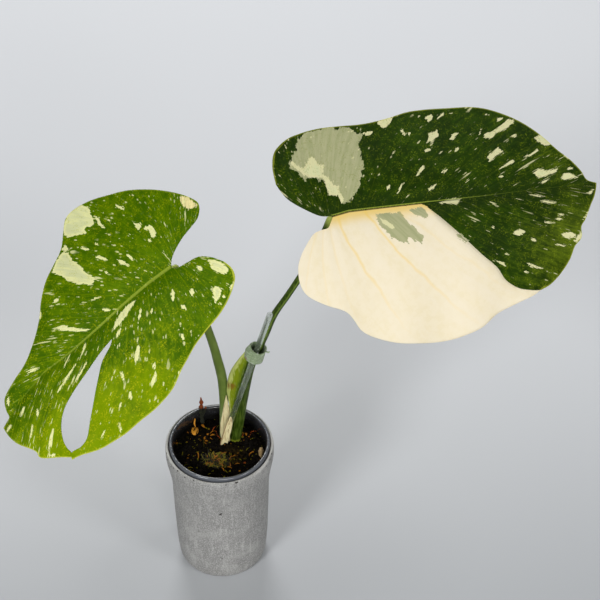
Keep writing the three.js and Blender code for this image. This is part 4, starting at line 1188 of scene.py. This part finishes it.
class MonsteraStage(MonsteraStep, bpy.types.Operator):
    """Sets up the camera, the pale floor and the soft light"""

    bl_idname = "monstera.stage"
    bl_label = "Stage"

    def execute(self, context):
        scene = context.scene
        chosen = scene.monstera_stage
        lens = bpy.data.cameras.new("Camera")
        lens.lens = chosen.lens / MM
        lens.sensor_width = 36
        lens.clip_end = 20
        camera = put("Camera", lens)
        camera.location = CAMERA_PLACE
        camera.rotation_euler = (math.radians(CAMERA_TILT), 0, 0)
        scene.camera = camera
        scene.view_settings.view_transform = "Standard"

        finish = Finish("Floor", roughness=0.95, Specular_IOR_Level=0.1)
        # painted shade: the floor is painted darker towards the front
        inwards = finish.coordinate("Y") - finish.coordinate("X") * 0.25
        tone = finish.mix(finish.step(inwards, -300, 250), chosen.floor_painted_shade, chosen.floor)
        reach, level = 9000, -0.4
        corners = [(x * reach, y * reach, level) for x, y in ((-1, -1), (1, -1), (1, 1), (-1, 1))]
        floor = make_piece("Floor", corners, [(0, 1, 2, 3)], finish.show(Base_Color=tone))
        lamps = [self.key("Key, left", (-1.35, -1.95, 1.75), chosen.key_left, chosen.softness),
                 self.key("Key, right", (2.0, -1.35, 1.75), chosen.key_right, chosen.softness),
                 self.disk("Front", (0.3, -1.65, 0.65), chosen.front, 0.8),
                 self.disk("Back", (-0.2, 1.7, 1.2), chosen.back, 1.0),
                 self.disk("Top", (0.75, 0.35, 1.5), chosen.top, 0.5)]
        world = bpy.data.worlds.new("Surroundings")
        world.use_nodes = True
        sky = world.node_tree.nodes["Background"]
        sky.inputs["Color"].default_value = (0.95, 0.98, 1.0, 1)
        sky.inputs["Strength"].default_value = chosen.sky
        scene.world = world
        return {"FINISHED"}

    def lamp(self, name, kind, place, strength):
        """A light at a place in metres that shines on the plant."""
        lamp = bpy.data.lights.new(name, kind)
        lamp.energy = strength
        light = put(name, lamp)
        light.location = place
        plant = Vector((0.05, 0.0, 0.18))
        light.rotation_euler = (plant - Vector(place)).to_track_quat("-Z", "Y").to_euler()
        return light

    def key(self, name, place, strength, softness):
        light = self.lamp(name, "SUN", place, strength)
        light.data.angle = softness
        return light

    def disk(self, name, place, strength, size):
        light = self.lamp(name, "AREA", place, strength)
        light.data.shape = "DISK"
        light.data.size = size
        return light


# Pits in the stoneware: azimuth in degrees, height and radius. The front of the pot is at -90.
PITS = [
    (-89, 83, 1.5), (-88, 84.4, 1.1), (-89, 27, 0.9), (-74, 14, 0.8), (-98, 13, 0.8), (-110, 30, 0.7),
    (-117, 57, 0.9), (-167, 122.6, 1.2), (-139, 123, 1.1), (-117, 123, 0.9), (-71, 123, 1.3),
    (-69.5, 123, 1.1), (-82, 122.6, 0.8), (-14, 123, 1.1), (-160, 121, 1.0), (-151, 119.6, 0.8),
    (-146, 121.6, 0.8), (-128, 121.8, 1.0), (-30, 121, 0.8), (-21, 122, 0.9),
]


def stone_finish(chosen):
    """Speckled grey stoneware with small pits painted dark as shade, a whitish lip with a painted highlight at
    its sides, and rusty dirt and painted shade along its inside.
    """
    finish = Finish("Stoneware", roughness=0.62)
    grain = finish.grain(1100, roughness=0.75)
    drawn = finish.grain(420, roughness=0.7, stretch=(1, 1, 0.1))
    blotch = finish.grain(70, detail=3)
    stone = finish.layered(
        chosen.stone_dark, (chosen.stone, grain, 0.38, 0.6, 1), (chosen.stone_light, grain, 0.53, 0.72, 1),
        (chosen.stone_light, drawn, 0.5, 0.75, 0.45), (chosen.stone_dark, drawn, 0.45, 0.25, 0.35),
        (chosen.stone_light, blotch, 0.45, 0.7, 0.2))
    level = finish.coordinate("Z")
    lip = finish.step(level + blotch * 4, 123.2, 126.2)
    # painted highlight: the whitish lip is laid on thicker towards the pot's left and right sides
    sideways = finish.math("ABSOLUTE", finish.coordinate("X"))
    stone = finish.mix(lip * finish.step(sideways, 22, 40, least=0.1, most=0.6), stone, chosen.lip)
    # dirt and painted shade along the inside of the lip, in the gap round the inner pot
    grime_and_gap_shade = finish.step(finish.from_axis(), 40.7, 40.1) * finish.step(level, 121.5, 122.5)
    grime_and_gap_shade = grime_and_gap_shade * finish.step(finish.grain(260, detail=3), 0.38, 0.6)
    stone = finish.mix(grime_and_gap_shade * 0.85, stone, chosen.grime_and_gap_shade)
    specks = finish.dots(finish.place(), 420, 0.26, 0.1, grain)
    stone = finish.mix(specks * 0.45, stone, chosen.stone_dark)
    pits = 0.0
    lip_radius, lip_level = 42.4, 110
    wall_radius, narrows_below, narrowing = 38.0, 60, 0.032
    for azimuth, height, radius in PITS:
        out = lip_radius if height > lip_level else wall_radius - max(0, narrows_below - height) * narrowing
        angle = math.radians(azimuth)
        pit_shade = finish.spot((out * math.cos(angle), out * math.sin(angle), height), radius)
        pits = finish.math("MAXIMUM", pits, pit_shade)
    # painted shade: the pits are painted dark
    stone = finish.mix(pits, stone, chosen.pit_shade)
    return finish.show(Base_Color=stone, Normal=finish.bump(grain * 0.35 - pits, 0.5))


class MonsteraCoverPot(MonsteraStep, bpy.types.Operator):
    """Turns the tall stoneware cover pot with its thick lip"""

    bl_idname = "monstera.cover_pot"
    bl_label = "Cover pot"

    def execute(self, context):
        chosen = context.scene.monstera_pot
        rise, lip = chosen.height / MM, chosen.lip_radius / MM
        outside = [(32.4, 0), (33.4, 0.3), (34.2, 1.3), (34.9, 4), (36.4, 22), (37.4, 48), (38.1, 74),
                   (38.5, 86), (39.5, 95), (41.3, 106), (42.2, 112), (lip, 117), (lip, 121),
                   (lip - 0.4, 123.2), (lip - 1.3, rise), (40.3, 123.3), (39.9, 121.8)]
        inside = [(38, 118.4), (37.2, 104), (35.8, 88), (35.1, 76), (34.3, 48), (33.3, 20), (32.2, 9),
                  (30, 6)]
        share = np.linspace(0, 1, 150)
        profile = np.vstack([[(0, 0)], Spline(outside, centripetal=True).at(share), [(39.9, 118.4)],
                             Spline(inside, centripetal=True).at(share[::5]), [(0, 6)]])
        pot = make_piece("Cover_pot", *lathe(profile, 160), stone_finish(chosen), crease=50)
        seat(pot, "cover_pot")
        return {"FINISHED"}


class MonsteraNurseryPot(MonsteraStep, bpy.types.Operator):
    """Turns the thin inner pot, with a rolled rim and holes in its floor"""

    bl_idname = "monstera.nursery_pot"
    bl_label = "Nursery pot"

    def execute(self, context):
        chosen = context.scene.monstera_pot
        finish = Finish("Dark plastic", roughness=0.16, Specular_IOR_Level=0.8)
        worn = finish.grain(260, detail=3)
        # the greyer outer half of the rim is painted sheen
        tone = finish.layered(chosen.plastic, (chosen.plastic_worn, worn, 0.5, 0.8, 0.4),
                              (chosen.plastic_rim_sheen, finish.from_axis(), 37.2, 38.4, 0.6),
                              # painted shade, darker down the wall towards the soil
                              (chosen.plastic_painted_shade, finish.coordinate("Z"), 123.8, 117, 0.85))
        plastic = finish.show(Base_Color=tone, Normal=finish.bump(worn, 0.3))

        rim = chosen.nursery_rim / MM
        roll = [(rim, 119.4), (rim, 124), (rim - 0.25, 125.4), (rim - 1, 126), (rim - 1.9, 125.9),
                (rim - 2.6, 125.2), (rim - 2.8, 124.2)]
        profile = np.vstack([[(0, 50), (30.5, 50), (37.3, 118.7), (rim, 118.7)],
                             Spline(roll, centripetal=True).at(np.linspace(0, 1, 36)),
                             [(36.4, 122), (33, 88), (29.6, 51), (0, 51)]])
        pot = make_piece("Nursery_pot", *lathe(profile, 128), plastic, crease=35)
        cutter = pot.modifiers.new("Drains", "BOOLEAN")
        cutter.operation = "DIFFERENCE"
        cutter.solver = "EXACT"
        cutter.object = self.drains(plastic)
        holed = plain_mesh(pot)
        bpy.data.objects.remove(cutter.object)
        pot.modifiers.clear()
        pot.data = holed
        seat(pot, "nursery_pot")
        return {"FINISHED"}

    def drains(self, plastic):
        """What is cut from the floor: six round holes about a middle one."""
        around_middle, radius, low, high = 19, 3.5, 47, 53
        places = [(around_middle * math.cos(a), around_middle * math.sin(a), 0) for a in around(6)]
        drains = []
        for place in places + [(0, 0, 0)]:
            corners, faces = lathe([(0, low), (radius, low), (radius, high), (0, high)], 24)
            drains.append(make_piece("Drain", corners + place, faces, plastic))
        return joined("Drains", drains)


def soil_relief(x, y):
    """How high the soil stands above its level."""
    mound = 1.8 * np.exp(-((x - 10) ** 2 + (y - 5) ** 2) / 90) + np.exp(-((x - 3) ** 2 + (y - 2) ** 2) / 30)
    swell = 0.9 * np.sin(0.23 * x + 1) * np.cos(0.19 * y) + 0.5 * np.sin(0.41 * x - 0.33 * y)
    rough = 0.8 * np.sin(1.1 * x + 0.7 * y) * np.sin(0.9 * y - 0.5 * x)
    fine = 0.3 * np.sin(2.3 * x) * np.sin(2.1 * y)
    return mound + swell + (rough + fine)


# The larger loose bits: place, turn in degrees, reach, half width and tone
SOIL_BITS = [
    (-14, 26, 140, 4.5, 1.5, 1.0), (-11.5, 24.5, -30, 5, 0.5, 0.95), (-5, 23, 60, 7, 0.5, 1.2),
    (-3.5, 21, 110, 5, 0.6, 1.2), (-6.5, 19.5, 40, 5, 0.5, 1.0), (-2.5, 17.5, 100, 4, 0.5, 1.2),
    (-6, 16, 10, 4, 0.9, 1.0), (-1, 14, 130, 4, 0.5, 1.2), (26, 20, 20, 6, 0.6, 1.2),
    (24, 17, 60, 5, 0.5, 1.2), (18, 15, 80, 4, 0.4, 1.2), (20, -13, 0, 2.2, 1.1, 1.15),
    (3, -19, 120, 6, 0.7, 1.0), (5, -21, 140, 5, 0.5, 0.95), (-7, -24, 10, 4, 0.6, 0.95),
    (8, -17, 160, 4, 0.6, 1.0), (-26, -14, 20, 3.5, 0.6, 0.95), (-29, -3, 80, 3, 0.5, 0.95),
    (-22, 3, 30, 3, 0.5, 0.94), (12, -6, 20, 5, 0.6, 1.0), (16, -9, -30, 4, 0.5, 0.95),
    (9, -10, 70, 5, 0.5, 0.94), (14, -14, 10, 4, 0.5, 1.0), (-12, 9, 150, 3, 0.6, 1.0),
    (-17, -9, 100, 3, 0.5, 0.95), (22, 2, 50, 4, 0.4, 0.95),
]


class MonsteraSoil(MonsteraStep, bpy.types.Operator):
    """Fills the inner pot with potting soil, and strews crumbs and threads over it"""

    bl_idname = "monstera.soil"
    bl_label = "Soil"

    def execute(self, context):
        chosen = context.scene.monstera_ground
        earth = self.earth(chosen)
        radius, smallest, rings = 35.45, 0.05, 60
        top = [(radius - (radius - smallest) * k / rings, SOIL_LEVEL) for k in range(rings + 1)]
        profile = [(0, 51.3), (29.2, 51.3), (32.3, 82)] + top + [(0, SOIL_LEVEL)]
        corners, faces = lathe(profile, 120)
        x, y, z = corners.T
        loose = (z > SOIL_LEVEL - 1) & (np.hypot(x, y) < 34.9)
        corners[loose, 2] += soil_relief(x[loose], y[loose])
        bed, cover = (make_piece("Bed", corners, faces, earth) for _ in range(2))
        bed = litter_growth("crumbs").on(bed, "Crumbs", earth, Density=chosen.crumbs, Seed=chosen.seed,
                                         Smallest=chosen.smallest, Largest=chosen.largest,
                                         Keep_surface=True)
        fibres = litter_growth("threads").on(cover, "Fibres", earth, Density=chosen.fibres,
                                             Seed=chosen.seed + 7, Smallest=1.5 * MM, Largest=6 * MM,
                                             Keep_surface=False)
        bits = [self.bit(earth, *bit) for bit in SOIL_BITS]
        seat(joined("Soil", [bed, fibres] + bits), "soil")
        return {"FINISHED"}

    def earth(self, chosen):
        """Near-black soil, its own dark colour painted darker still as shade. Its crumbs are paler, green,
        orange or red, in the order of their tones.
        """
        finish = Finish("Potting soil", roughness=0.9, Specular_IOR_Level=0.1)
        grain = finish.grain(900, roughness=0.7)
        tone = finish.value("tone")
        # the soil's base is painted near-black as shade
        paint = finish.layered(
            chosen.soil_dark_and_shade, (chosen.soil_light, grain, 0.4, 0.75, 1),
            (chosen.soil_light, tone, 0.6, 0.9, 0.7), (chosen.soil_green, tone, 0.915, 0.95, 0.9),
            (chosen.soil_orange, tone, 0.97, 0.99, 0.9), (chosen.red_fibre, tone, 1.05, 1.1, 1))
        patch = finish.spot((11.5, -5.5, 115), 12.5) * finish.step(finish.grain(380, detail=3), 0.38, 0.6)
        paint = finish.mix(patch * 0.7, paint, chosen.soil_brown)
        return finish.show(Base_Color=paint, Normal=finish.bump(grain, 0.8))

    def bit(self, earth, x, y, turn, reach, half_width, tone):
        """One loose fibre or flake that lies on the soil, curved upwards in the middle."""
        angle = math.radians(turn)
        along = np.array((math.cos(angle), math.sin(angle), 0)) * reach / 2
        middle = np.array((x, y, SOIL_LEVEL + soil_relief(x, y) + half_width))
        path = [middle - along, middle + (0, 0, reach * 0.22), middle + along]
        bit = sweep("Bit", earth, path, 8, 6, (0.2, half_width, 0.2), (0.15, half_width * 0.6, 0.15))
        mark(bit.data, "tone", np.full(len(bit.data.vertices), tone))
        return bit


class MonsteraRoots(MonsteraStep, bpy.types.Operator):
    """Dresses the crown and roots, which the soil hides"""

    bl_idname = "monstera.roots"
    bl_label = "Crown and roots"

    def execute(self, context):
        chosen = context.scene.monstera_stalk
        finish = Finish("Root", roughness=0.8)
        tone = finish.mix(finish.grain(300, detail=3), chosen.root, chosen.root_dark)
        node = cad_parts["crown_and_roots"]
        node.data.materials.clear()
        node.data.materials.append(finish.show(Base_Color=tone))
        return {"FINISHED"}


LEFT_STALK = [
    (4, 15.8, 104.3), (4, 15.8, 106.3), (2.8, 17, 113), (3, 17, 128), (3.5, 16.4, 145), (3.8, 15.9, 158),
    (3.6, 15.8, 170), (3.1, 15.8, 180), (1.7, 16, 191), (-0.2, 16.2, 202), (-1.9, 16.5, 212),
    (-5.3, 17.3, 227.5), (-10, 18.2, 245), (-18.5, 19.5, 270), (-26.5, 18.5, 290),
]
LEFT_RADII = (3, 3.1, 3.2, 3.5, 3.8, 3.8, 3.5, 3.3, 3.2, 3.2, 3.6, 3.4, 3.0)
RIGHT_STALK = [
    (9.9, 11.2, 104.3), (9.9, 11.2, 106.3), (11.3, 11.4, 113), (13.0, 12, 127), (14.6, 12.6, 138),
    (16.6, 13.4, 154), (19.6, 14, 172.5), (23.0, 14, 188), (26.9, 13.6, 201.8), (31.3, 13.3, 215.5),
    (36.6, 13.7, 231), (43.6, 15.4, 251), (54.1, 17, 270.5), (67.4, 18.6, 297), (78, 21, 321),
]
RIGHT_RADII = (2.2, 3.3, 3.4, 3.4, 3.0, 2.7, 2.8, 2.8, 2.5, 2.4, 2.5, 3.0, 2.8, 2.6)
CLASP_LEVELS = (172, 212)  # the right stalk clasps below the first and is round above the second
CLASP_WIDER = 0.5


class MonsteraStalks(MonsteraStep, bpy.types.Operator):
    """Grows the two leaf stalks from the crown into the ribs of their blades"""

    bl_idname = "monstera.stalks"
    bl_label = "Leaf stalks"

    def execute(self, context):
        chosen = context.scene.monstera_stalk
        growth = stalk_growth()
        skin = self.skin("Petiole_left", chosen, chosen.grey_green, chosen.grey_green, mottled=0.3,
                         pallor=0.55, hem=0)
        path = LEFT_STALK + self.joint(LEFT_BLADE)
        left = growth.on(line_of(path, LEFT_RADII, 110, tip=7), "Petiole_left", skin,
                         Sides=chosen.sides, Keel=0.0)
        seat(left, "petiole_left")

        skin = self.skin("Petiole_right", chosen, chosen.dark_green, chosen.ridge, mottled=0.12, pallor=0,
                         hem=0.65)
        path = RIGHT_STALK + self.joint(RIGHT_BLADE)
        right = growth.on(line_of(path, RIGHT_RADII, 110, tip=7), "Petiole_right", skin,
                          Sides=chosen.sides, Keel=chosen.keel)
        self.clasp(right, path)
        seat(right, "petiole_right")
        return {"FINISHED"}

    def joint(self, blade):
        """The stalk's last points, which end inside the blade's rib."""
        return [blade.behind(8), blade.behind(4), blade.behind(1.9)]

    def skin(self, name, chosen, green, ridge, mottled, pallor, hem):
        finish = Finish(name, roughness=0.45, Specular_IOR_Level=0.15)
        grain = finish.grain(900, detail=3, stretch=(1, 1, 0.15))
        level = finish.coordinate("Z")
        tone = finish.layered(green, (ridge, grain, 0.35, 0.75, 0.4),
                              (chosen.stalk_mottle, finish.grain(110, detail=3), 0.45, 0.75, mottled),
                              # paler grey-green towards the foot of the stalk
                              (chosen.stalk_pallor, level, 165, 125, pallor))
        raised = finish.step(finish.value("keel"), 0.55, 1.0, most=0.8) * finish.step(level, 180, 235)
        tone = finish.mix(raised, tone, ridge)
        tone = finish.layered(tone, (chosen.stalk_top, finish.value("along"), 0.94, 0.985, 1),
                              (chosen.stalk_hem, level, 119.5, 115.8, hem))
        return finish.show(Base_Color=tone, Normal=finish.bump(grain, 0.15))

    def clasp(self, stalk, path):
        """Widens the right stalk below the tie, where it clasps the stem."""
        places = np.zeros(len(stalk.data.vertices) * 3, np.float32)
        stalk.data.vertices.foreach_get("co", places)
        places = places.reshape(-1, 3)
        middle = Spline(path, centripetal=True).at(np.linspace(0, 1, 400)) * MM
        centre = np.interp(places[:, 2], middle[:, 2], middle[:, 0])
        wider = CLASP_WIDER * (1 - smooth_step(places[:, 2] / MM, *CLASP_LEVELS))
        places[:, 0] += (places[:, 0] - centre) * wider
        stalk.data.vertices.foreach_set("co", places.ravel())
        stalk.data.update()


class MonsteraLeaves(MonsteraStep, bpy.types.Operator):
    """Shapes and paints the two split blades"""

    bl_idname = "monstera.leaves"
    bl_label = "Leaves"

    def execute(self, context):
        chosen = context.scene.monstera_leaf
        left = LeafFinish("left", chosen, speckled=0.8, veined=0.34, rib_end=0.95, margin_seen=0.8)
        right = LeafFinish("right", chosen, speckled=0.35, veined=0.1, rib_end=0.7, margin_seen=0.3)
        for side, blade, finish, slot in (("left", LEFT_BLADE, left, "leaf_lime"),
                                          ("right", RIGHT_BLADE, right, "leaf_dark_and_cream")):
            leaf = blade.build("Leaf_" + side, finish.mixed(), chosen.thickness / MM, chosen.rib_depth / MM)
            seat(leaf, "leaf_" + side)
        return {"FINISHED"}


class MonsteraSheaths(MonsteraStep, bpy.types.Operator):
    """Adds the green sheath at the right stalk and the dry one at its foot"""

    bl_idname = "monstera.sheaths"
    bl_label = "Sheaths"

    def execute(self, context):
        chosen = context.scene.monstera_stalk
        path = [(9.9, 12.6, 138), (10.2, 12.6, 150), (10.7, 12.7, 161), (11.9, 12.7, 175), (14, 12.7, 187.5),
                (15.9, 12.6, 194), (18.5, 12.5, 201), (20.9, 12.3, 207), (22, 12, 212), (22.6, 11.8, 216)]
        green = sweep("Sheath_green", self.green(chosen), path, 70, 28,
                      (1.0, 1.6, 2.4, 3.5, 5.1, 5.6, 5.6, 5.4, 4.6, 3.7, 1.0),
                      (0.4, 0.7, 0.9, 1.4, 2.2, 2.5, 2.4, 2.2, 1.8, 1.2, 0.5))
        seat(green, "sheath_green")

        papery = self.papery(chosen)
        path = [(5.2, 9.9, 108), (4.8, 10.2, 114), (4.6, 11.2, 120), (4.6, 12, 127), (4.9, 12.2, 136),
                (5.4, 12.2, 146), (5.7, 11.9, 157), (5.9, 11.6, 166)]
        wedge = sweep("Wedge", papery, path, 66, 24, (2.6, 3.8, 4.3, 4.2, 3.4, 2.5, 1.5, 0.3), (0.75, 0.75),
                      across=0.5)
        path = [(2.6, 5.6, 110), (3, 5.6, 116), (4.6, 5.5, 124), (6.9, 5.4, 135), (8.6, 5.2, 144),
                (9.2, 5.1, 148.5)]
        flap = sweep("Flap", papery, path, 50, 20, (2.6, 2.9, 2.9, 2.8, 2.4, 0.8), (0.35, 0.35))
        seat(joined("Sheath_cream", [wedge, flap]), "sheath_cream")
        return {"FINISHED"}

    def green(self, chosen):
        """Yellow-green, paler on the left, darker on the right by the stalk, with two brown stains."""
        finish = Finish("Green sheath", roughness=0.5, Specular_IOR_Level=0.15)
        grain = finish.grain(900, detail=3, stretch=(1, 1, 0.12))
        across = finish.value("across") + (grain - 0.5) * 1.6
        tone = finish.layered(chosen.sheath_pale, (chosen.sheath, across, -0.75, -0.3, 1),
                              (chosen.sheath_dark, across, 0.0, 0.8, 0.9),
                              (chosen.sheath_pale, grain, 0.56, 0.72, 0.5))
        for centre, radius in (((9.5, 10.5, 178), 5.5), ((21.5, 9.5, 212), 2.6)):
            stain = finish.spot(centre, radius) * finish.step(grain, 0.3, 0.6)
            tone = finish.mix(stain * 0.85, tone, chosen.sheath_stain)
        return finish.show(Base_Color=tone, Normal=finish.bump(grain, 0.25))

    def papery(self, chosen):
        """Dry cream with brown fibres, streaks and nicks, and one brown edge."""
        finish = Finish("Dry sheath", roughness=0.75)
        grain = finish.grain(800, roughness=0.65, stretch=(1, 1, 0.1))
        nicks = finish.grain(260, detail=2, stretch=(1, 1, 0.4))
        across = finish.value("across")
        lengthwise = finish.node("ShaderNodeCombineXYZ", X=across, Y=finish.value("along"))
        streaks = finish.noise(lengthwise.outputs["Vector"], 4.5, detail=3)
        tone = finish.layered(
            chosen.dry, (chosen.dry_fibre, grain, 0.45, 0.72, 0.6),
            (chosen.dry_dark, nicks, 0.68, 0.74, 0.7), (chosen.dry_streak, streaks, 0.52, 0.66, 0.6),
            (chosen.dry_dark, across, -0.62, -0.9, 0.8))
        return finish.show(Base_Color=tone, Normal=finish.bump(grain, 0.4))


ROD_TOP = Vector((40.7, 7, 260.3))
ROD_AT_SOIL = Vector((1.9, 9.1, SOIL_LEVEL))
ROD_BURIED = 32
TIE_TOP = (31.4, 10.2, 221)


def leaned(corners, origin):
    """Corners drawn about +Z, leaned to the rod and moved to a place."""
    lean = Vector((0, 0, 1)).rotation_difference(ROD_TOP - ROD_AT_SOIL).to_matrix()
    return np.asarray(corners) @ np.array(lean).T + np.array(origin)


class MonsteraRod(MonsteraStep, bpy.types.Operator):
    """Sets the clear rod in the soil"""

    bl_idname = "monstera.rod"
    bl_label = "Clear rod"

    def execute(self, context):
        chosen = context.scene.monstera_support
        finish = Finish("Clear acrylic", roughness=0.0, IOR=1.49, Alpha=chosen.body, Specular_IOR_Level=1.0)
        sawn = finish.step(finish.coordinate("Z"), 259.2, 259.7)
        acrylic = finish.show(Base_Color=finish.mix(sawn, chosen.rod, chosen.rod_end),
                              Transmission_Weight=chosen.clearness - sawn * 0.6)
        radius, bevel = chosen.rod_radius / MM, 0.25
        along = ROD_TOP - ROD_AT_SOIL
        rise = along.length + ROD_BURIED
        corners, faces = lathe([(0, 0), (radius - bevel, 0), (radius, bevel), (radius, rise - bevel),
                                (radius - bevel, rise), (0, rise)], 48)
        foot = ROD_AT_SOIL - along.normalized() * ROD_BURIED
        rod = make_piece("Stake", leaned(corners, foot), faces, acrylic, crease=40)
        seat(rod, "stake")
        return {"FINISHED"}


class MonsteraTie(MonsteraStep, bpy.types.Operator):
    """Wraps the tape once round the rod and the right stalk"""

    bl_idname = "monstera.tie"
    bl_label = "Tie"

    def execute(self, context):
        chosen = context.scene.monstera_support
        finish = Finish("Plant tape", roughness=0.85, Sheen_Weight=0.3)
        weave = finish.grain(1500, detail=3, roughness=0.7)
        rows = finish.grain(700, detail=2, stretch=(0.35, 0.35, 2.2))
        tone = finish.layered(chosen.tape_dark, (chosen.tape, weave, 0.35, 0.7, 1),
                              (chosen.tape_light, rows, 0.5, 0.68, 0.5))
        tone = finish.mix(finish.spot((22.5, 7.5, 212.5), 2.1), tone, chosen.tape_stain)
        cloth = finish.show(Base_Color=tone, Normal=finish.bump(weave, 0.7))
        band = self.band(chosen.tape_width / MM, cloth)
        end = sweep("End", cloth, [(37.4, 7.4, 219.5), (38.8, 6.4, 219.8), (40.2, 6.2, 220.8)], 8, 10,
                    (1.3, 1.0, 0.3), (0.3, 0.3, 0.2))
        seat(joined("Tie", [band, end]), "tie")
        return {"FINISHED"}

    def band(self, width, cloth):
        """A closed ring of tape that bulges to the left, over the green sheath's tip."""
        inner, outer, round_over, sides = 5.85, 6.75, 0.25, 96
        section = [(inner, -width + 0.2), (6.1, -width), (6.5, -width)]
        section += [(outer, -width + round_over + (width - 2 * round_over) * k / 12) for k in range(13)]
        section += [(6.5, 0), (6.1, 0)]
        section += [(inner, -0.2 - (width - 0.4) * k / 6) for k in range(6)]
        angle = around(sides)
        bulge = 2.6 * np.maximum(-np.cos(angle), 0) ** 4
        rings = []
        for out, level in section:
            reach = out + 0.14 * np.sin(3 * angle + 0.35 * level) + 0.08 * np.sin(7 * angle)
            reach += bulge * smooth_step(-level, 0, 6) * (1 + level / 26)
            rings.append(np.column_stack([reach * np.cos(angle), reach * np.sin(angle),
                                          level + 0.25 * np.sin(2 * angle + 1)]))
        faces = tube_faces(len(section), sides, capped=False)
        last = (len(section) - 1) * sides
        faces += [(last + k, last + (k + 1) % sides, (k + 1) % sides, k) for k in range(sides)]
        return make_piece("Band", leaned(np.vstack(rings), TIE_TOP), faces, cloth, crease=60)


class MonsteraLitter(MonsteraStep, bpy.types.Operator):
    """Lays the dead sprig, the dry flake, the bark chip and the moss on the soil"""

    bl_idname = "monstera.litter"
    bl_label = "Bits on the soil"

    def execute(self, context):
        chosen = context.scene.monstera_ground
        growth = stalk_growth()
        self.sprig(chosen, growth)
        self.flake(chosen, growth)
        self.bark(chosen)
        self.moss(chosen)
        return {"FINISHED"}

    def sprig(self, chosen, growth):
        finish = Finish("Dead wood", roughness=0.9)
        grain = finish.grain(700)
        tone = finish.layered(chosen.wood, (chosen.wood_top, finish.coordinate("Z"), 129.2, 132, 1),
                              (chosen.wood_grain, grain, 0.45, 0.8, 0.6))
        wood = finish.show(Base_Color=tone, Normal=finish.bump(grain, 0.8))
        knobbly = (1.6, 1.9, 1.4, 2.0, 1.2, 1.9, 1.3, 1.7, 1.0, 2.0, 1.0, 2.1, 0.9, 1.8, 0.8, 0.5)
        stem = line_of([(-14, 28, 106), (-14.4, 29.6, 116), (-15.4, 31.8, 127), (-14.9, 33.2, 133),
                        (-15.2, 34.6, 139)], knobbly, 80)
        twig = line_of([(-15, 30.6, 120.5), (-13, 31.2, 125), (-11.4, 31.5, 131.4)],
                       (1.3, 0.8, 1.2, 0.7), 24)
        pieces = [growth.on(stem, "Sprig", wood, Sides=14), growth.on(twig, "Twig", wood, Sides=10)]
        seat(joined("Dead_sprig", pieces), "dead_sprig")

    def flake(self, chosen, growth):
        finish = Finish("Dry leaf", roughness=0.7)
        grain = finish.grain(600)
        dry = finish.show(Base_Color=finish.mix(grain, chosen.flake, chosen.flake_grain),
                          Normal=finish.bump(grain, 0.5))
        spoon = cushion("Flake", dry, (-20.2, 21.5, 114.6), (2.9, 4.6, 1), 24, 14)
        line = line_of([(-20.2, 25.7, 114.9), (-20.7, 27.6, 117), (-20.1, 28.8, 120.5)], (0.7, 0.6), 10)
        stalk = growth.on(line, "Flake_stalk", dry, Sides=8)
        seat(joined("Dry_flake", [spoon, stalk]), "dry_flake")

    def bark(self, chosen):
        finish = Finish("Bark", roughness=0.85)
        grain = finish.grain(700, stretch=(1, 0.3, 1))
        bark = finish.show(Base_Color=finish.mix(grain, chosen.bark, chosen.bark_grain),
                           Normal=finish.bump(grain, 0.8))
        chip = cushion("Bark_chip", bark, (32.4, -2.5, 115.8), (1.9, 5, 2.6), 20, 12, swell=0.12)
        seat(chip, "bark_chip")

    def moss(self, chosen):
        finish = Finish("Moss", roughness=0.95)
        tone = finish.value("tone")
        paint = finish.layered(chosen.moss, (chosen.soil_green, tone, 0.3, 0.7, 1),
                               (chosen.soil_orange, tone, 0.86, 0.9, 1))
        moss = finish.show(Base_Color=paint, Normal=finish.bump(finish.grain(900), 1.0))
        clump = cushion("Moss", moss, (-2.5, -11.5, 114.9), (9.5, 6, 2.6), 36, 20, swell=0.1)
        clump = litter_growth("threads").on(clump, "Moss_clump", moss, Density=chosen.threads,
                                            Seed=chosen.seed + 3, Smallest=1.6 * MM, Largest=5.5 * MM,
                                            Keep_surface=True)
        seat(clump, "moss_clump")


STEPS = (
    MonsteraStage, MonsteraCoverPot, MonsteraNurseryPot, MonsteraSoil, MonsteraRoots, MonsteraStalks,
    MonsteraLeaves, MonsteraSheaths, MonsteraRod, MonsteraTie, MonsteraLitter,
)


class MonsteraPanel(bpy.types.Panel):
    """Lists the steps and the sizes and colours they use"""

    bl_idname = "VIEW3D_PT_monstera"
    bl_label = "Monstera"
    bl_space_type = "VIEW_3D"
    bl_region_type = "UI"
    bl_category = "Monstera"

    def draw(self, context):
        for step in STEPS:
            self.layout.operator(step.bl_idname)
        for name, group in GROUPS.items():
            box = self.layout.box()
            for label in group.__annotations__:
                box.prop(getattr(context.scene, name), label)


def register():
    for group in GROUPS.values():
        bpy.utils.register_class(group)
    for name, group in GROUPS.items():
        setattr(bpy.types.Scene, name, PointerProperty(type=group))
    for step in STEPS:
        bpy.utils.register_class(step)
    bpy.utils.register_class(MonsteraPanel)


def unregister():
    bpy.utils.unregister_class(MonsteraPanel)
    for step in reversed(STEPS):
        bpy.utils.unregister_class(step)
    for name, group in GROUPS.items():
        delattr(bpy.types.Scene, name)
        bpy.utils.unregister_class(group)


def main():
    register()
    for step in STEPS:
        group, name = step.bl_idname.split(".")
        getattr(getattr(bpy.ops, group), name)()


if __name__ == "__main__":
    main()
